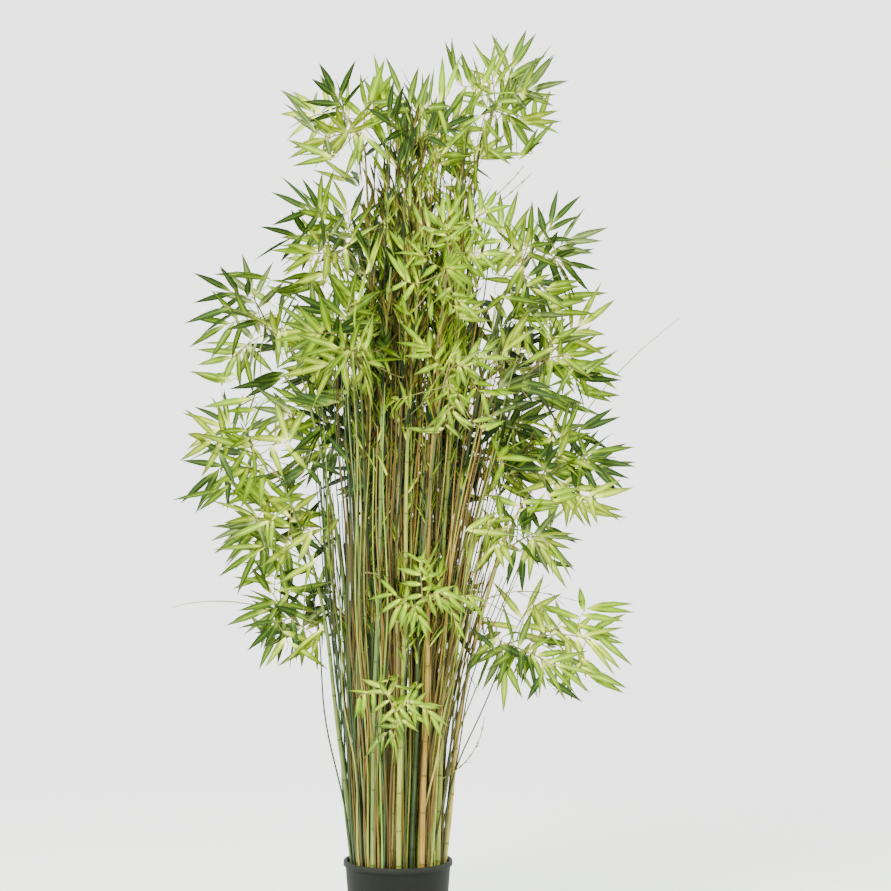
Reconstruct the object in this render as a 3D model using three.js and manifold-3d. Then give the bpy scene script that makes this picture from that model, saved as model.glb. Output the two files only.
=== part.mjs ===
// An artificial bamboo in a round plastic pot: a clump of thin canes cast into the pot's filling, and masses
// of long narrow leaves on wire twigs. Millimetres, +Z up, with the origin under the middle of the pot.
// +X is the plant's right, and -Y is its front.
import * as THREE from "three";
import { mergeVertices } from "three/addons/utils/BufferGeometryUtils.js";
import Module from "manifold-3d";

const wasm = await Module();
wasm.setup();

// The pot, from its flat foot to the rolled rim, and the filling that holds the canes
const POT_HEIGHT = 160;
const POT_FOOT_RADIUS = 80;
const POT_RIM_RADIUS = 95;
const POT_WALL = 3;
const POT_FLOOR = 5;
const POT_SIDES = 28;
const RIM_BEAD_HEIGHT = 10;
const RIM_BEAD_PROUD = 3.5;
const FOOT_CHAMFER = 2;
const FILL_BELOW_RIM = 26;

// Pieces that touch keep this gap
const GAP = 0.3;
// The step along a route, as a share of it, over which its direction is taken
const ROUTE_STEP = 0.001;

// The canes
const CANE_FOOT_RADIUS = 4.5;
const CANE_TIP_RADIUS = 1.7;
// A cane keeps most of its thickness to half its height
const CANE_TAPER_POWER = 1.5;
const CANE_SIDES = 6;
const CANE_SEGMENTS = 6;
const CLUMP_RADIUS = 80;
// The canes' feet stand in rings, each given by its count, its share of the clump's radius and its turn
const FOOT_RINGS = [
  { count: 3, share: 0.18, turn: 0.4 },
  { count: 7, share: 0.45, turn: 0.2 },
  { count: 10, share: 0.73, turn: 0.15 },
  { count: 12, share: 1, turn: 0 },
];
// How far a foot may stand aside of its place
const FOOT_RANGE = 4;
const FEET_SEED = 147;
const PLAIN_CANE_SPREAD = 1.12;
const PLAIN_CANE_TOP = 1410;
const PLAIN_CANE_RANGE = 260;
// A cane leans evenly for a share of its way out, and curls out near its tip for the rest
const LEAN_SHARE = 0.5;
const CURL_POWER = 4;
const CANE_SWAY = 3;
const SWAY_TURNS = 1.5;
const SLOPE_STEP = 0.02;
// The clump's middle drifts to the right towards the top
const TOP_DRIFT = 52;
const DRIFT_POWER = 2;

// The twigs and leaves
const STEM_RADIUS = 1.9;
const TWIG_RADIUS = 1.7;
const TWIG_TIP_RADIUS = 1.4;
const TWIG_SIDES = 3;
const STEM_SEGMENTS = 3;
const WHIP_SEGMENTS = 3;
// A stem runs on past its mass's middle by a share of its length. It leaves its cane's tip along the cane,
// for a share of its length, and its cane's side a little upwards.
const STEM_PAST_MIDDLE = 0.15;
const STEM_RISE = 0.35;
const SIDE_STEM_BEND = 0.4;
// The shares of a stem's length at which its twigs begin and a whip leaves it
const FIRST_TWIG = 0.45;
const WHIP_ROOT = 0.8;
const LEAF_LENGTH = 92;
const LEAF_WIDTH = 16;
const LEAF_WIDEST = 0.4;
const LEAF_THICK = 1;
const LEAF_RIB_AT = 0.25;
const LEAF_SUNK = 0.4;
const FIRST_LEAF = 2;
const LEAF_STAGGER = 7;
const LEAVES_PER_SPRAY = 5;
const LEAF_TRIES = 4;
// Sprays start on a shell inside their mass, of this share of its reach
const SPRAY_SHELL = 0.48;
// They cover that shell from its outer end to three quarters of the way to its inner one. The outer end leans
// up by this much for a mass that lies at OUTER_MASS.
const SHELL_SPAN = 1.5;
const SHELL_LIFT = 0.5;
// How far each leaf of a spray stands off its twig's line, from the end leaf back
const LEAF_ANGLES = [6, 36, 56, 72, 84];
const ANGLE_RANGE = 7;
// The most that a spray's plane turns about its twig, that a leaf leans out of that plane, and that a leaf
// turns about itself, in radians
const SPRAY_TURN = 0.9;
const LEAF_LEAN = 0.25;
const LEAF_TURN = 0.5;
// A leaf takes between this share and the whole of its mass's sag, and its length varies by these shares
const LEAST_SAG = 0.3;
const LENGTH_LOSS = 0.035;
const LENGTH_RANGE = 0.08;
const CLEARANCE = 1.2;
const LEAVES_APART = 5.5;
const SAMPLES = 8;
// The roundness of a mass's space: 2 is an ellipsoid, and more comes nearer to a box
const SPACE_POWER = 4;

// Where a mass's cane ends, and where a side stem leaves its cane, as shares of the mass's reach
const TIP_INWARD = 0.25;
const TIP_INWARD_LIMIT = 0.6;
const TIP_BELOW = 0.5;
const SIDE_BELOW = 0.35;
// How much a cane that stands aside of a mass's direction counts as nearer in, when its bearer is chosen
const ASIDE_LOSS = 0.5;
const OUTER_MASS = 230;
const INNERMOST_FOOT = 0.15;
const FIRST_MASS_SEED = 100;

const GOLDEN_ANGLE = Math.PI * (3 - Math.sqrt(5));
const UP = new THREE.Vector3(0, 0, 1);
const UPRIGHT = 0.9;

// The masses of foliage. centre and reach are the middle and half sizes of the space each one fills, sprays
// is how many sprays of leaves it has, and sag turns its leaves down. A mass grows on from its cane's tip, or
// where side is given from the side of the outermost cane. A whip is one long bare shoot.
const MASSES = [
  { name: "top_left", centre: [-95, 10, 1450], reach: [118, 110, 120], sprays: 5, sag: -0.1 },
  { name: "top_middle", centre: [35, -45, 1440], reach: [110, 115, 115], sprays: 5, sag: -0.2 },
  { name: "top_right", centre: [182, 10, 1490], reach: [118, 110, 122], sprays: 6, sag: -0.35 },
  { name: "top_back", centre: [60, 120, 1415], reach: [125, 115, 120], sprays: 5, sag: 0 },
  { name: "upper_left", centre: [-130, -15, 1235], reach: [128, 120, 125], sprays: 5, sag: 0.1 },
  { name: "upper_right", centre: [240, 0, 1215], reach: [125, 115, 125], sprays: 5, sag: 0.1 },
  { name: "upper_front", centre: [95, -120, 1205], reach: [120, 130, 125], sprays: 5, sag: 0.1 },
  { name: "upper_back", centre: [20, 145, 1225], reach: [135, 130, 125], sprays: 4, sag: 0.1 },
  { name: "outer_left", centre: [-245, 20, 1090], reach: [125, 115, 130], sprays: 5, sag: 0.1 },
  { name: "middle_left", centre: [-95, -85, 1060], reach: [120, 125, 125], sprays: 5, sag: 0.1 },
  { name: "outer_right", centre: [280, 20, 1050], reach: [120, 115, 125], sprays: 5, sag: 0.1 },
  { name: "middle_front", centre: [88, -125, 1010], reach: [125, 130, 120], sprays: 5, sag: 0.2 },
  { name: "middle_back_left", centre: [-90, 155, 1045], reach: [135, 130, 125], sprays: 5, sag: 0.1 },
  { name: "middle_back_right", centre: [155, 155, 1050], reach: [130, 130, 125], sprays: 5, sag: 0.1 },
  { name: "left_arm", centre: [-275, -10, 875], reach: [130, 115, 120], sprays: 6, sag: 0.2 },
  { name: "shaded_left", centre: [-115, 45, 900], reach: [125, 115, 120], sprays: 4, sag: 0.2 },
  { name: "shaded_right", centre: [165, 50, 890], reach: [120, 110, 120], sprays: 4, sag: 0.2 },
  {
    name: "right_arm", centre: [285, -20, 845], reach: [130, 115, 125], sprays: 6, sag: 0.2,
    whip: { bend: [325, 0, 975], end: [490, 20, 1101] },
  },
  { name: "low_left", centre: [-215, 10, 725], reach: [125, 105, 112], sprays: 5, sag: 0.4, side: true },
  { name: "low_right", centre: [215, -10, 715], reach: [110, 105, 95], sprays: 5, sag: 0.4, side: true },
  { name: "low_back", centre: [30, 150, 805], reach: [135, 130, 115], sprays: 5, sag: 0.3 },
  {
    name: "bottom_left", centre: [-190, 0, 585], reach: [108, 100, 100], sprays: 5, sag: 0.35, side: true,
    whip: { bend: [-305, 0, 625], end: [-393, 0, 598] },
  },
  { name: "low_front", centre: [45, -125, 620], reach: [120, 110, 105], sprays: 5, sag: 0.7, side: true },
  { name: "bottom_right", centre: [262, 0, 545], reach: [155, 105, 115], sprays: 6, sag: 0.5, side: true },
  { name: "bottom_front", centre: [0, -130, 425], reach: [90, 90, 120], sprays: 4, sag: 0.8, side: true },
  { name: "bottom_back", centre: [40, 160, 590], reach: [120, 100, 105], sprays: 4, sag: 0.4, side: true },
];

const FILL_TOP = POT_HEIGHT - FILL_BELOW_RIM;
const CANE_FOOT = FILL_TOP + GAP;

const plastic = new THREE.MeshStandardMaterial({ color: 0x3a3d39, roughness: 0.6, metalness: 0 });
const filling = new THREE.MeshStandardMaterial({ color: 0x2a231c, roughness: 1, metalness: 0 });
const caneSkin = new THREE.MeshStandardMaterial({ color: 0x8e8a55, roughness: 0.6, metalness: 0 });
const foliage = new THREE.MeshStandardMaterial({ color: 0x7f9f45, roughness: 0.6, metalness: 0 });

// Seeded random numbers from 0 to 1, from a plain 32-bit congruential generator.
function randomFrom(seed) {
  let state = Math.imul(seed + 1, 2654435761) >>> 0;
  return () => {
    state = (Math.imul(state, 1664525) + 1013904223) >>> 0;
    return state / 4294967296;
  };
}

// A random number from -1 to 1.
function either(random) {
  return 2 * random() - 1;
}

function vector(values) {
  return new THREE.Vector3(...values);
}

// A level direction square to another one, or along X square to one that stands upright.
function squareTo(along) {
  const helper = Math.abs(along.z) > UPRIGHT ? new THREE.Vector3(1, 0, 0) : UP;
  return helper.clone().cross(along).normalize();
}

// A closed geometry as a solid that can be joined and cut.
function solidOf(geometry) {
  const bare = geometry.clone();
  bare.deleteAttribute("normal");
  bare.deleteAttribute("uv");
  const merged = mergeVertices(bare, 1e-4);
  return new wasm.Manifold(
    new wasm.Mesh({
      numProp: 3,
      vertProperties: merged.attributes.position.array,
      triVerts: new Uint32Array(merged.index.array),
    }),
  );
}

function geometryOf(solid) {
  const mesh = solid.getMesh();
  return new THREE.BufferGeometry()
    .setAttribute("position", new THREE.BufferAttribute(mesh.vertProperties, 3))
    .setIndex(new THREE.BufferAttribute(mesh.triVerts, 1));
}

function piece(name, geometry, material) {
  geometry.computeVertexNormals();
  const mesh = new THREE.Mesh(geometry, material);
  mesh.name = name;
  return mesh;
}

// The pot's inner radius at a height above the floor.
function potInside(z) {
  const share = z / POT_HEIGHT;
  return POT_FOOT_RADIUS + (POT_RIM_RADIUS - RIM_BEAD_PROUD - POT_FOOT_RADIUS) * share - POT_WALL;
}

// A shape spun round the pot's axis, from points of radius and height that run up its outside.
function spun(points) {
  const profile = points.map(([radius, height]) => new THREE.Vector2(radius, height));
  return new THREE.LatheGeometry(profile, POT_SIDES).rotateX(Math.PI / 2);
}

function pot() {
  const neck = POT_RIM_RADIUS - RIM_BEAD_PROUD;
  const beadFoot = POT_HEIGHT - RIM_BEAD_HEIGHT;
  const rounding = RIM_BEAD_HEIGHT / 4;
  const outline = [
    [0, 0],
    [POT_FOOT_RADIUS - FOOT_CHAMFER, 0],
    [POT_FOOT_RADIUS, FOOT_CHAMFER],
    [neck, beadFoot],
    [POT_RIM_RADIUS, beadFoot + rounding],
    [POT_RIM_RADIUS, POT_HEIGHT - rounding],
    [neck, POT_HEIGHT],
    [neck - POT_WALL, POT_HEIGHT - rounding],
    [potInside(POT_FLOOR), POT_FLOOR],
    [0, POT_FLOOR],
  ];
  return piece("pot", spun(outline), plastic);
}

function potFilling() {
  const foot = POT_FLOOR + GAP;
  const outline = [
    [0, foot],
    [potInside(foot) - GAP, foot],
    [potInside(FILL_TOP) - GAP, FILL_TOP],
    [0, FILL_TOP],
  ];
  return piece("pot_filling", spun(outline), filling);
}

// How far the clump's middle has drifted to the right at a height.
function driftAt(z) {
  return TOP_DRIFT * Math.pow(z / PLAIN_CANE_TOP, DRIFT_POWER);
}

// Where a mass lies from the clump's middle, in plan.
function outwardOf(mass) {
  return new THREE.Vector2(mass.centre[0] - driftAt(mass.centre[2]), mass.centre[1]);
}

// The cane feet, in rings that each stand a little uneven.
function caneFeet() {
  const random = randomFrom(FEET_SEED);
  return FOOT_RINGS.flatMap(({ count, share, turn }) =>
    Array.from({ length: count }, (_, k) => {
      const radius = CLUMP_RADIUS * share - FOOT_RANGE * random();
      const angle = (2 * Math.PI * k) / count + turn + (FOOT_RANGE / radius) * either(random);
      return new THREE.Vector2(radius * Math.cos(angle), radius * Math.sin(angle));
    }),
  );
}

// The tip of the cane that carries a mass: under its middle, and nearer the clump.
function tipUnder(mass) {
  const out = outwardOf(mass);
  const inward = Math.min(TIP_INWARD * out.length(), TIP_INWARD_LIMIT * mass.reach[0]);
  const back = out.clone().setLength(inward);
  return new THREE.Vector3(
    mass.centre[0] - back.x,
    mass.centre[1] - back.y,
    mass.centre[2] - TIP_BELOW * mass.reach[2],
  );
}

// Gives each mass that grows on a cane's tip the free foot nearest its own side of the clump, the furthest
// out first. The feet that are left carry plain canes that run straight up.
function allCanes() {
  const feet = caneFeet();
  const free = new Set(feet.keys());
  const canes = [];
  const carried = MASSES.filter((mass) => !mass.side);
  carried.sort((a, b) => outwardOf(b).length() - outwardOf(a).length());
  for (const mass of carried) {
    const out = outwardOf(mass);
    const share = Math.min(1, Math.max(INNERMOST_FOOT, out.length() / OUTER_MASS));
    const wish = out.clone().setLength(CLUMP_RADIUS * share);
    const foot = [...free].reduce((a, b) => (feet[b].distanceTo(wish) < feet[a].distanceTo(wish) ? b : a));
    free.delete(foot);
    canes.push({ foot: feet[foot], tip: tipUnder(mass), carries: mass.name, seed: foot });
  }
  for (const k of free) {
    const top = PLAIN_CANE_TOP - PLAIN_CANE_RANGE * randomFrom(k)();
    const tip = new THREE.Vector3(
      feet[k].x * PLAIN_CANE_SPREAD + driftAt(top),
      feet[k].y * PLAIN_CANE_SPREAD,
      top,
    );
    canes.push({ foot: feet[k], tip, carries: null, seed: k });
  }
  canes.sort((a, b) => a.seed - b.seed);
  return canes;
}

// A cane's middle at a share of its height.
function caneAt(cane, share) {
  const out = LEAN_SHARE * share + (1 - LEAN_SHARE) * Math.pow(share, CURL_POWER);
  const sway = CANE_SWAY * Math.sin(Math.PI * share) * Math.sin(2 * Math.PI * SWAY_TURNS * share + cane.seed);
  return new THREE.Vector3(
    cane.foot.x + (cane.tip.x - cane.foot.x) * out + sway,
    cane.foot.y + (cane.tip.y - cane.foot.y) * out + sway * Math.cos(cane.seed),
    CANE_FOOT + (cane.tip.z - CANE_FOOT) * share,
  );
}

function caneRadius(share) {
  return CANE_FOOT_RADIUS + (CANE_TIP_RADIUS - CANE_FOOT_RADIUS) * Math.pow(share, CANE_TAPER_POWER);
}

// The direction of a route at a share of its length.
function slopeOf(route, share, step) {
  return route(Math.min(1, share + step)).sub(route(Math.max(0, share - step))).normalize();
}

// A tapering tube round a route. Level sections keep a cane's foot flat, and the others stand square to the
// route.
function sweptTube(route, radiusAt, sides, segments, level) {
  const geometry = new THREE.CylinderGeometry(1, 1, 1, sides, segments);
  const position = geometry.attributes.position;
  for (let i = 0; i < position.count; i += 1) {
    const share = position.getY(i) + 0.5;
    const along = level ? UP : slopeOf(route, share, ROUTE_STEP);
    const side = squareTo(along);
    const other = side.clone().cross(along);
    const point = route(share)
      .addScaledVector(side, position.getX(i) * radiusAt(share))
      .addScaledVector(other, position.getZ(i) * radiusAt(share));
    position.setXYZ(i, point.x, point.y, point.z);
  }
  return geometry;
}

// A cane, or the space of one with a little extra room all round and past its tip.
function caneGeometry(cane, extra) {
  const route = (share) => caneAt(cane, share * (1 + extra / cane.tip.z));
  return sweptTube(route, (share) => caneRadius(share) + extra, CANE_SIDES, CANE_SEGMENTS, true);
}

// The share of a cane's height at which it passes a level, or its tip if it ends below.
function shareAt(cane, z) {
  return Math.min(1, Math.max(0, (z - CANE_FOOT) / (cane.tip.z - CANE_FOOT)));
}

// True if a point keeps clear of every cane, with room round it.
function clearOfCanes(point, room, canes) {
  return canes.every((cane) => {
    if (point.z > cane.tip.z + room) return true;
    const share = shareAt(cane, point.z);
    const middle = caneAt(cane, share);
    const upright = slopeOf((at) => caneAt(cane, at), share, SLOPE_STEP).z;
    const away = Math.hypot(point.x - middle.x, point.y - middle.y);
    return away * upright > caneRadius(share) + room;
  });
}

// True if a point lies in a mass's own space: nearer its middle than any other's, and within its reach. The
// reach is a box with well rounded corners.
function inSpace(point, mass, room) {
  const middle = vector(mass.centre);
  const reached = point.clone().sub(middle).divide(vector(mass.reach));
  if (reached.x ** SPACE_POWER + reached.y ** SPACE_POWER + reached.z ** SPACE_POWER > 1) return false;
  return MASSES.every((other) => {
    if (other === mass) return true;
    const theirs = vector(other.centre);
    const apart = theirs.distanceTo(middle);
    const nearer = (point.distanceToSquared(theirs) - point.distanceToSquared(middle)) / (2 * apart);
    return nearer > room;
  });
}

// The cane that carries a mass: the one that ends under it, or the outermost one on its side.
function bearerOf(mass, canes) {
  if (!mass.side) {
    return { cane: canes.find((cane) => cane.carries === mass.name), share: 1 };
  }
  const out = outwardOf(mass).normalize();
  const height = mass.centre[2] - SIDE_BELOW * mass.reach[2];
  const reachOut = (cane) => {
    const middle = caneAt(cane, shareAt(cane, height));
    return middle.x * out.x + middle.y * out.y - ASIDE_LOSS * Math.abs(middle.x * out.y - middle.y * out.x);
  };
  const cane = canes.reduce((a, b) => (reachOut(b) > reachOut(a) ? b : a));
  return { cane, share: shareAt(cane, height) };
}

// The route of a mass's stem, from its cane to a little past the mass's middle.
function stemRoute(mass, bearer) {
  const root = caneAt(bearer.cane, bearer.share);
  const end = vector(mass.centre).addScaledVector(vector(mass.centre).sub(root), STEM_PAST_MIDDLE);
  const rise = STEM_RISE * root.distanceTo(end);
  const heading = mass.side
    ? end.clone().sub(root).addScaledVector(UP, rise).multiplyScalar(SIDE_STEM_BEND)
    : root.clone().sub(caneAt(bearer.cane, 1 - SLOPE_STEP)).setLength(rise);
  const bend = root.clone().add(heading);
  const curve = new THREE.QuadraticBezierCurve3(root, bend, end);
  return (share) => curve.getPoint(share);
}

// A tapering twig of three sides.
function twigSolid(curve, segments) {
  const radiusAt = (share) => TWIG_RADIUS + (TWIG_TIP_RADIUS - TWIG_RADIUS) * share;
  return solidOf(sweptTube((share) => curve.getPoint(share), radiusAt, TWIG_SIDES, segments, false));
}

// A leaf's own axes: along it, across it and out of its face, and its root.
function leafFrame(root, along, face) {
  const across = face.clone().cross(along).normalize();
  return new THREE.Matrix4()
    .makeBasis(along, across, along.clone().cross(across))
    .setPosition(root);
}

// A leaf of six faces: a three-sided double pyramid, from the root over the rib and the two edges to the tip.
function leafSolid(leaf) {
  const { length, frame } = leaf;
  const place = (x, y, z) => new THREE.Vector3(x, y, z).applyMatrix4(frame);
  const root = place(-LEAF_SUNK, 0, 0);
  const tip = place(length, 0, 0);
  const corners = [
    place(LEAF_RIB_AT * length, 0, LEAF_THICK),
    place(LEAF_WIDEST * length, LEAF_WIDTH / 2, 0),
    place(LEAF_WIDEST * length, -LEAF_WIDTH / 2, 0),
  ];
  const faces = corners.flatMap((corner, i) => {
    const next = corners[(i + 1) % corners.length];
    return [next, corner, tip, corner, next, root];
  });
  return solidOf(new THREE.BufferGeometry().setFromPoints(faces));
}

// The points of a leaf that are tested for room.
function leafPoints(leaf) {
  const points = Array.from({ length: SAMPLES }, (_, i) => [(leaf.length * (i + 1)) / SAMPLES, 0, 0]);
  const widest = LEAF_WIDEST * leaf.length;
  points.push([widest, LEAF_WIDTH / 2, 0], [widest, -LEAF_WIDTH / 2, 0]);
  return points.map((point) => vector(point).applyMatrix4(leaf.frame));
}

// One spray: leaves set alternately along the last stretch of a twig, each further back one turned further
// out. Each leaf is a few tries at one root, from the likeliest to the most bent aside.
function sprayLeaves(twig, mass, random) {
  const along = twig.delta(new THREE.Vector3()).normalize();
  const face = squareTo(along).applyAxisAngle(along, SPRAY_TURN * either(random));
  const across = face.clone().cross(along).normalize();
  const firstSide = random() < 0.5 ? -1 : 1;
  return Array.from({ length: LEAVES_PER_SPRAY }, (_, i) => {
    const side = i % 2 === 0 ? firstSide : -firstSide;
    const root = twig.end.clone().addScaledVector(along, -FIRST_LEAF - LEAF_STAGGER * i);
    return Array.from({ length: LEAF_TRIES }, (_, attempt) => {
      const range = (attempt + 1) * either(random);
      const angle = THREE.MathUtils.degToRad(LEAF_ANGLES[i] + ANGLE_RANGE * range) * side;
      const heading = along
        .clone()
        .multiplyScalar(Math.cos(angle))
        .addScaledVector(across, Math.sin(angle))
        .addScaledVector(UP, -mass.sag * (LEAST_SAG + (1 - LEAST_SAG) * random()))
        .addScaledVector(face, LEAF_LEAN * (attempt + 1) * either(random))
        .normalize();
      const turned = face.clone().applyAxisAngle(heading, LEAF_TURN * either(random));
      const length = LEAF_LENGTH * (1 - LENGTH_LOSS * i) * (1 + LENGTH_RANGE * either(random));
      const line = new THREE.Line3(root, root.clone().addScaledVector(heading, length));
      return { length, line, frame: leafFrame(root, heading, turned) };
    });
  });
}

// Where a mass's sprays start: spread evenly over a smaller shell in its space, with its inner end left free.
function sprayPlaces(mass, count, random) {
  const turn = 2 * Math.PI * random();
  const outward = outwardOf(mass);
  const lean = new THREE.Vector3(outward.x, outward.y, SHELL_LIFT * OUTER_MASS).normalize();
  const toLean = new THREE.Quaternion().setFromUnitVectors(UP, lean);
  return Array.from({ length: count }, (_, i) => {
    const height = 1 - (SHELL_SPAN * (i + 0.5)) / count;
    const ring = Math.sqrt(1 - height * height);
    const angle = turn + i * GOLDEN_ANGLE;
    const place = new THREE.Vector3(ring * Math.cos(angle), ring * Math.sin(angle), height);
    place.applyQuaternion(toLean).multiply(vector(mass.reach)).multiplyScalar(SPRAY_SHELL);
    return place.add(vector(mass.centre));
  });
}

// A mass's stem as the straight stretches that its solid has.
function stemLines(stem) {
  return Array.from(
    { length: STEM_SEGMENTS },
    (_, i) => new THREE.Line3(stem(i / STEM_SEGMENTS), stem((i + 1) / STEM_SEGMENTS)),
  );
}

// True if a leaf crosses none of these lines.
function clearOfLines(points, lines) {
  const nearest = new THREE.Vector3();
  return points.every((point) =>
    lines.every((line) => line.closestPointToPoint(point, true, nearest).distanceTo(point) > LEAVES_APART),
  );
}

// A mass grown by the rule: its stem, and then the twigs and the leaves that have room.
function growMass(mass, index, canes) {
  const random = randomFrom(FIRST_MASS_SEED + index);
  const bearer = bearerOf(mass, canes);
  const stem = stemRoute(mass, bearer);
  const last = Math.max(1, mass.sprays - 1);
  const twigRoom = CLEARANCE + TWIG_RADIUS;
  const leafRoom = CLEARANCE + LEAF_WIDTH / 2;
  const hasRoom = (point, fromMasses, fromCanes) =>
    inSpace(point, mass, fromMasses) && clearOfCanes(point, fromCanes, canes);
  const twigs = sprayPlaces(mass, mass.sprays, random)
    .map((tip, i) => new THREE.Line3(stem(FIRST_TWIG + (1 - FIRST_TWIG) * (1 - i / last)), tip))
    .filter((twig) =>
      Array.from({ length: SAMPLES }, (_, k) => twig.at((k + 1) / SAMPLES, new THREE.Vector3())).every(
        (point) => hasRoom(point, twigRoom, twigRoom),
      ),
    );
  const leaves = [];
  for (const twig of twigs) {
    const otherTwigs = twigs.filter((other) => other !== twig);
    const others = [...stemLines(stem), ...otherTwigs, ...leaves.map((leaf) => leaf.line)];
    for (const tries of sprayLeaves(twig, mass, random)) {
      const leaf = tries.find((attempt) => {
        const points = leafPoints(attempt);
        return points.every((point) => hasRoom(point, CLEARANCE, leafRoom)) && clearOfLines(points, others);
      });
      if (leaf) leaves.push(leaf);
    }
  }
  return { bearer, stem, twigs, leaves };
}

// A mass as one solid, cut clear of the cane that carries it, with any loose scrap dropped.
function massPiece(mass, index, canes) {
  const { bearer, stem, twigs, leaves } = growMass(mass, index, canes);
  let solid = solidOf(sweptTube(stem, () => STEM_RADIUS, TWIG_SIDES, STEM_SEGMENTS, false));
  for (const twig of twigs) {
    solid = solid.add(twigSolid(new THREE.LineCurve3(twig.start, twig.end), 1));
  }
  if (mass.whip) {
    const { bend, end } = mass.whip;
    const whip = new THREE.QuadraticBezierCurve3(stem(WHIP_ROOT), vector(bend), vector(end));
    solid = solid.add(twigSolid(whip, WHIP_SEGMENTS));
  }
  for (const leaf of leaves) {
    solid = solid.add(leafSolid(leaf));
  }
  solid = solid.subtract(solidOf(caneGeometry(bearer.cane, GAP)));
  const largest = solid.decompose().reduce((a, b) => (b.volume() > a.volume() ? b : a));
  return piece(`foliage_${mass.name}`, geometryOf(largest), foliage);
}

const bamboo = new THREE.Group();
const canes = allCanes();
bamboo.add(pot(), potFilling());
canes.forEach((cane, k) => {
  bamboo.add(piece(`cane_${String(k + 1).padStart(2, "0")}`, caneGeometry(cane, 0), caneSkin));
});
MASSES.forEach((mass, index) => bamboo.add(massPiece(mass, index, canes)));

export default bamboo;
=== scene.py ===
# %% [markdown]
# An artificial bamboo in a plastic pot, dressed round its imported model.
# The model fixes every size and place. This lesson gives each piece its real surface: a moulded pot, a rough
# filling, jointed canes, wire twigs and a few thousand thin leaves.
# The imported model is loaded first.

# %% Load the model
import math
from collections import namedtuple

import bmesh
import bpy
import numpy as np
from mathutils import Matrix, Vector, noise
from numpy.linalg import norm


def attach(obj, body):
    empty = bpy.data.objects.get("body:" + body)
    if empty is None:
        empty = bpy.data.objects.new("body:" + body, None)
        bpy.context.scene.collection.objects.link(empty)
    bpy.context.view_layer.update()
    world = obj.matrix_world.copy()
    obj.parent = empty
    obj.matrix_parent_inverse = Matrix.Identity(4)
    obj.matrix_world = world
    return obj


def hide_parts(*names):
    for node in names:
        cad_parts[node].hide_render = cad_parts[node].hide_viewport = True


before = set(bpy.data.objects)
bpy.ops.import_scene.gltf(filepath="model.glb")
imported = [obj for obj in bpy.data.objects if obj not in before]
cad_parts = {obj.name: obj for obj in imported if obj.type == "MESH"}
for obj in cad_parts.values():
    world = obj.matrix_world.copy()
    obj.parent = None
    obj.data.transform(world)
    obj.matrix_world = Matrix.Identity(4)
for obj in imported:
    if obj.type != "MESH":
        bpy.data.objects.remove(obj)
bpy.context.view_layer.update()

# %% [markdown]
# The photograph looks straight at the plant, a little above its middle, with a long lens.
# The pot's rim shows as a flat ellipse, and its height against its width gives the camera's distance. It
# could be placed by eye too, but then every later comparison would carry that error.

# %% The camera
CAMERA_PLACE = (0.08265, -3.93, 0.8795)
CAMERA_LENS = 91.26
CAMERA_SENSOR = 36


def show(name, data):
    """A new object in the scene."""
    made = bpy.data.objects.new(name, data)
    bpy.context.scene.collection.objects.link(made)
    return made


camera_data = bpy.data.cameras.new("camera")
camera_data.lens = CAMERA_LENS
camera_data.sensor_width = CAMERA_SENSOR
camera = show("camera", camera_data)
camera.location = CAMERA_PLACE
camera.rotation_euler = (math.pi / 2, 0, 0)
bpy.context.scene.camera = camera
print("field of view:", round(math.degrees(camera_data.angle), 2))

# %% [markdown]
# Shader maths reads best as plain arithmetic. A small class wraps a socket and turns a sum into a Math node,
# and one method makes every other node: its settings first, then the values or links of its sockets.
# Dragging nodes in the editor gives the same result, but a script of expressions is easier to change.

# %% Shader maths as expressions
def colour(code):
    """A screen colour such as 7f9a4a as the linear colour that a shader takes."""
    parts = [int(code[i : i + 2], 16) / 255 for i in (0, 2, 4)]
    linear = [p / 12.92 if p <= 0.04045 else ((p + 0.055) / 1.055) ** 2.4 for p in parts]
    return (*linear, 1.0)


def sum_node(operation, swapped=False, clamp=False):
    """A method of a wire that makes one Math node."""

    def method(self, other=0.0):
        a, b = (other, self) if swapped else (self, other)
        settings = {"operation": operation, "use_clamp": clamp}
        return self.finish.node("ShaderNodeMath", settings, {0: a, 1: b})

    return method


class Wire:
    """One output of a material's nodes, to be used in sums."""

    __add__ = __radd__ = sum_node("ADD")
    __sub__ = sum_node("SUBTRACT")
    __rsub__ = sum_node("SUBTRACT", swapped=True)
    __mul__ = __rmul__ = sum_node("MULTIPLY")
    __abs__ = sum_node("ABSOLUTE")
    sine = sum_node("SINE")
    clamped = sum_node("ADD", clamp=True)

    def __init__(self, finish, socket):
        self.finish = finish
        self.socket = socket


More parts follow.
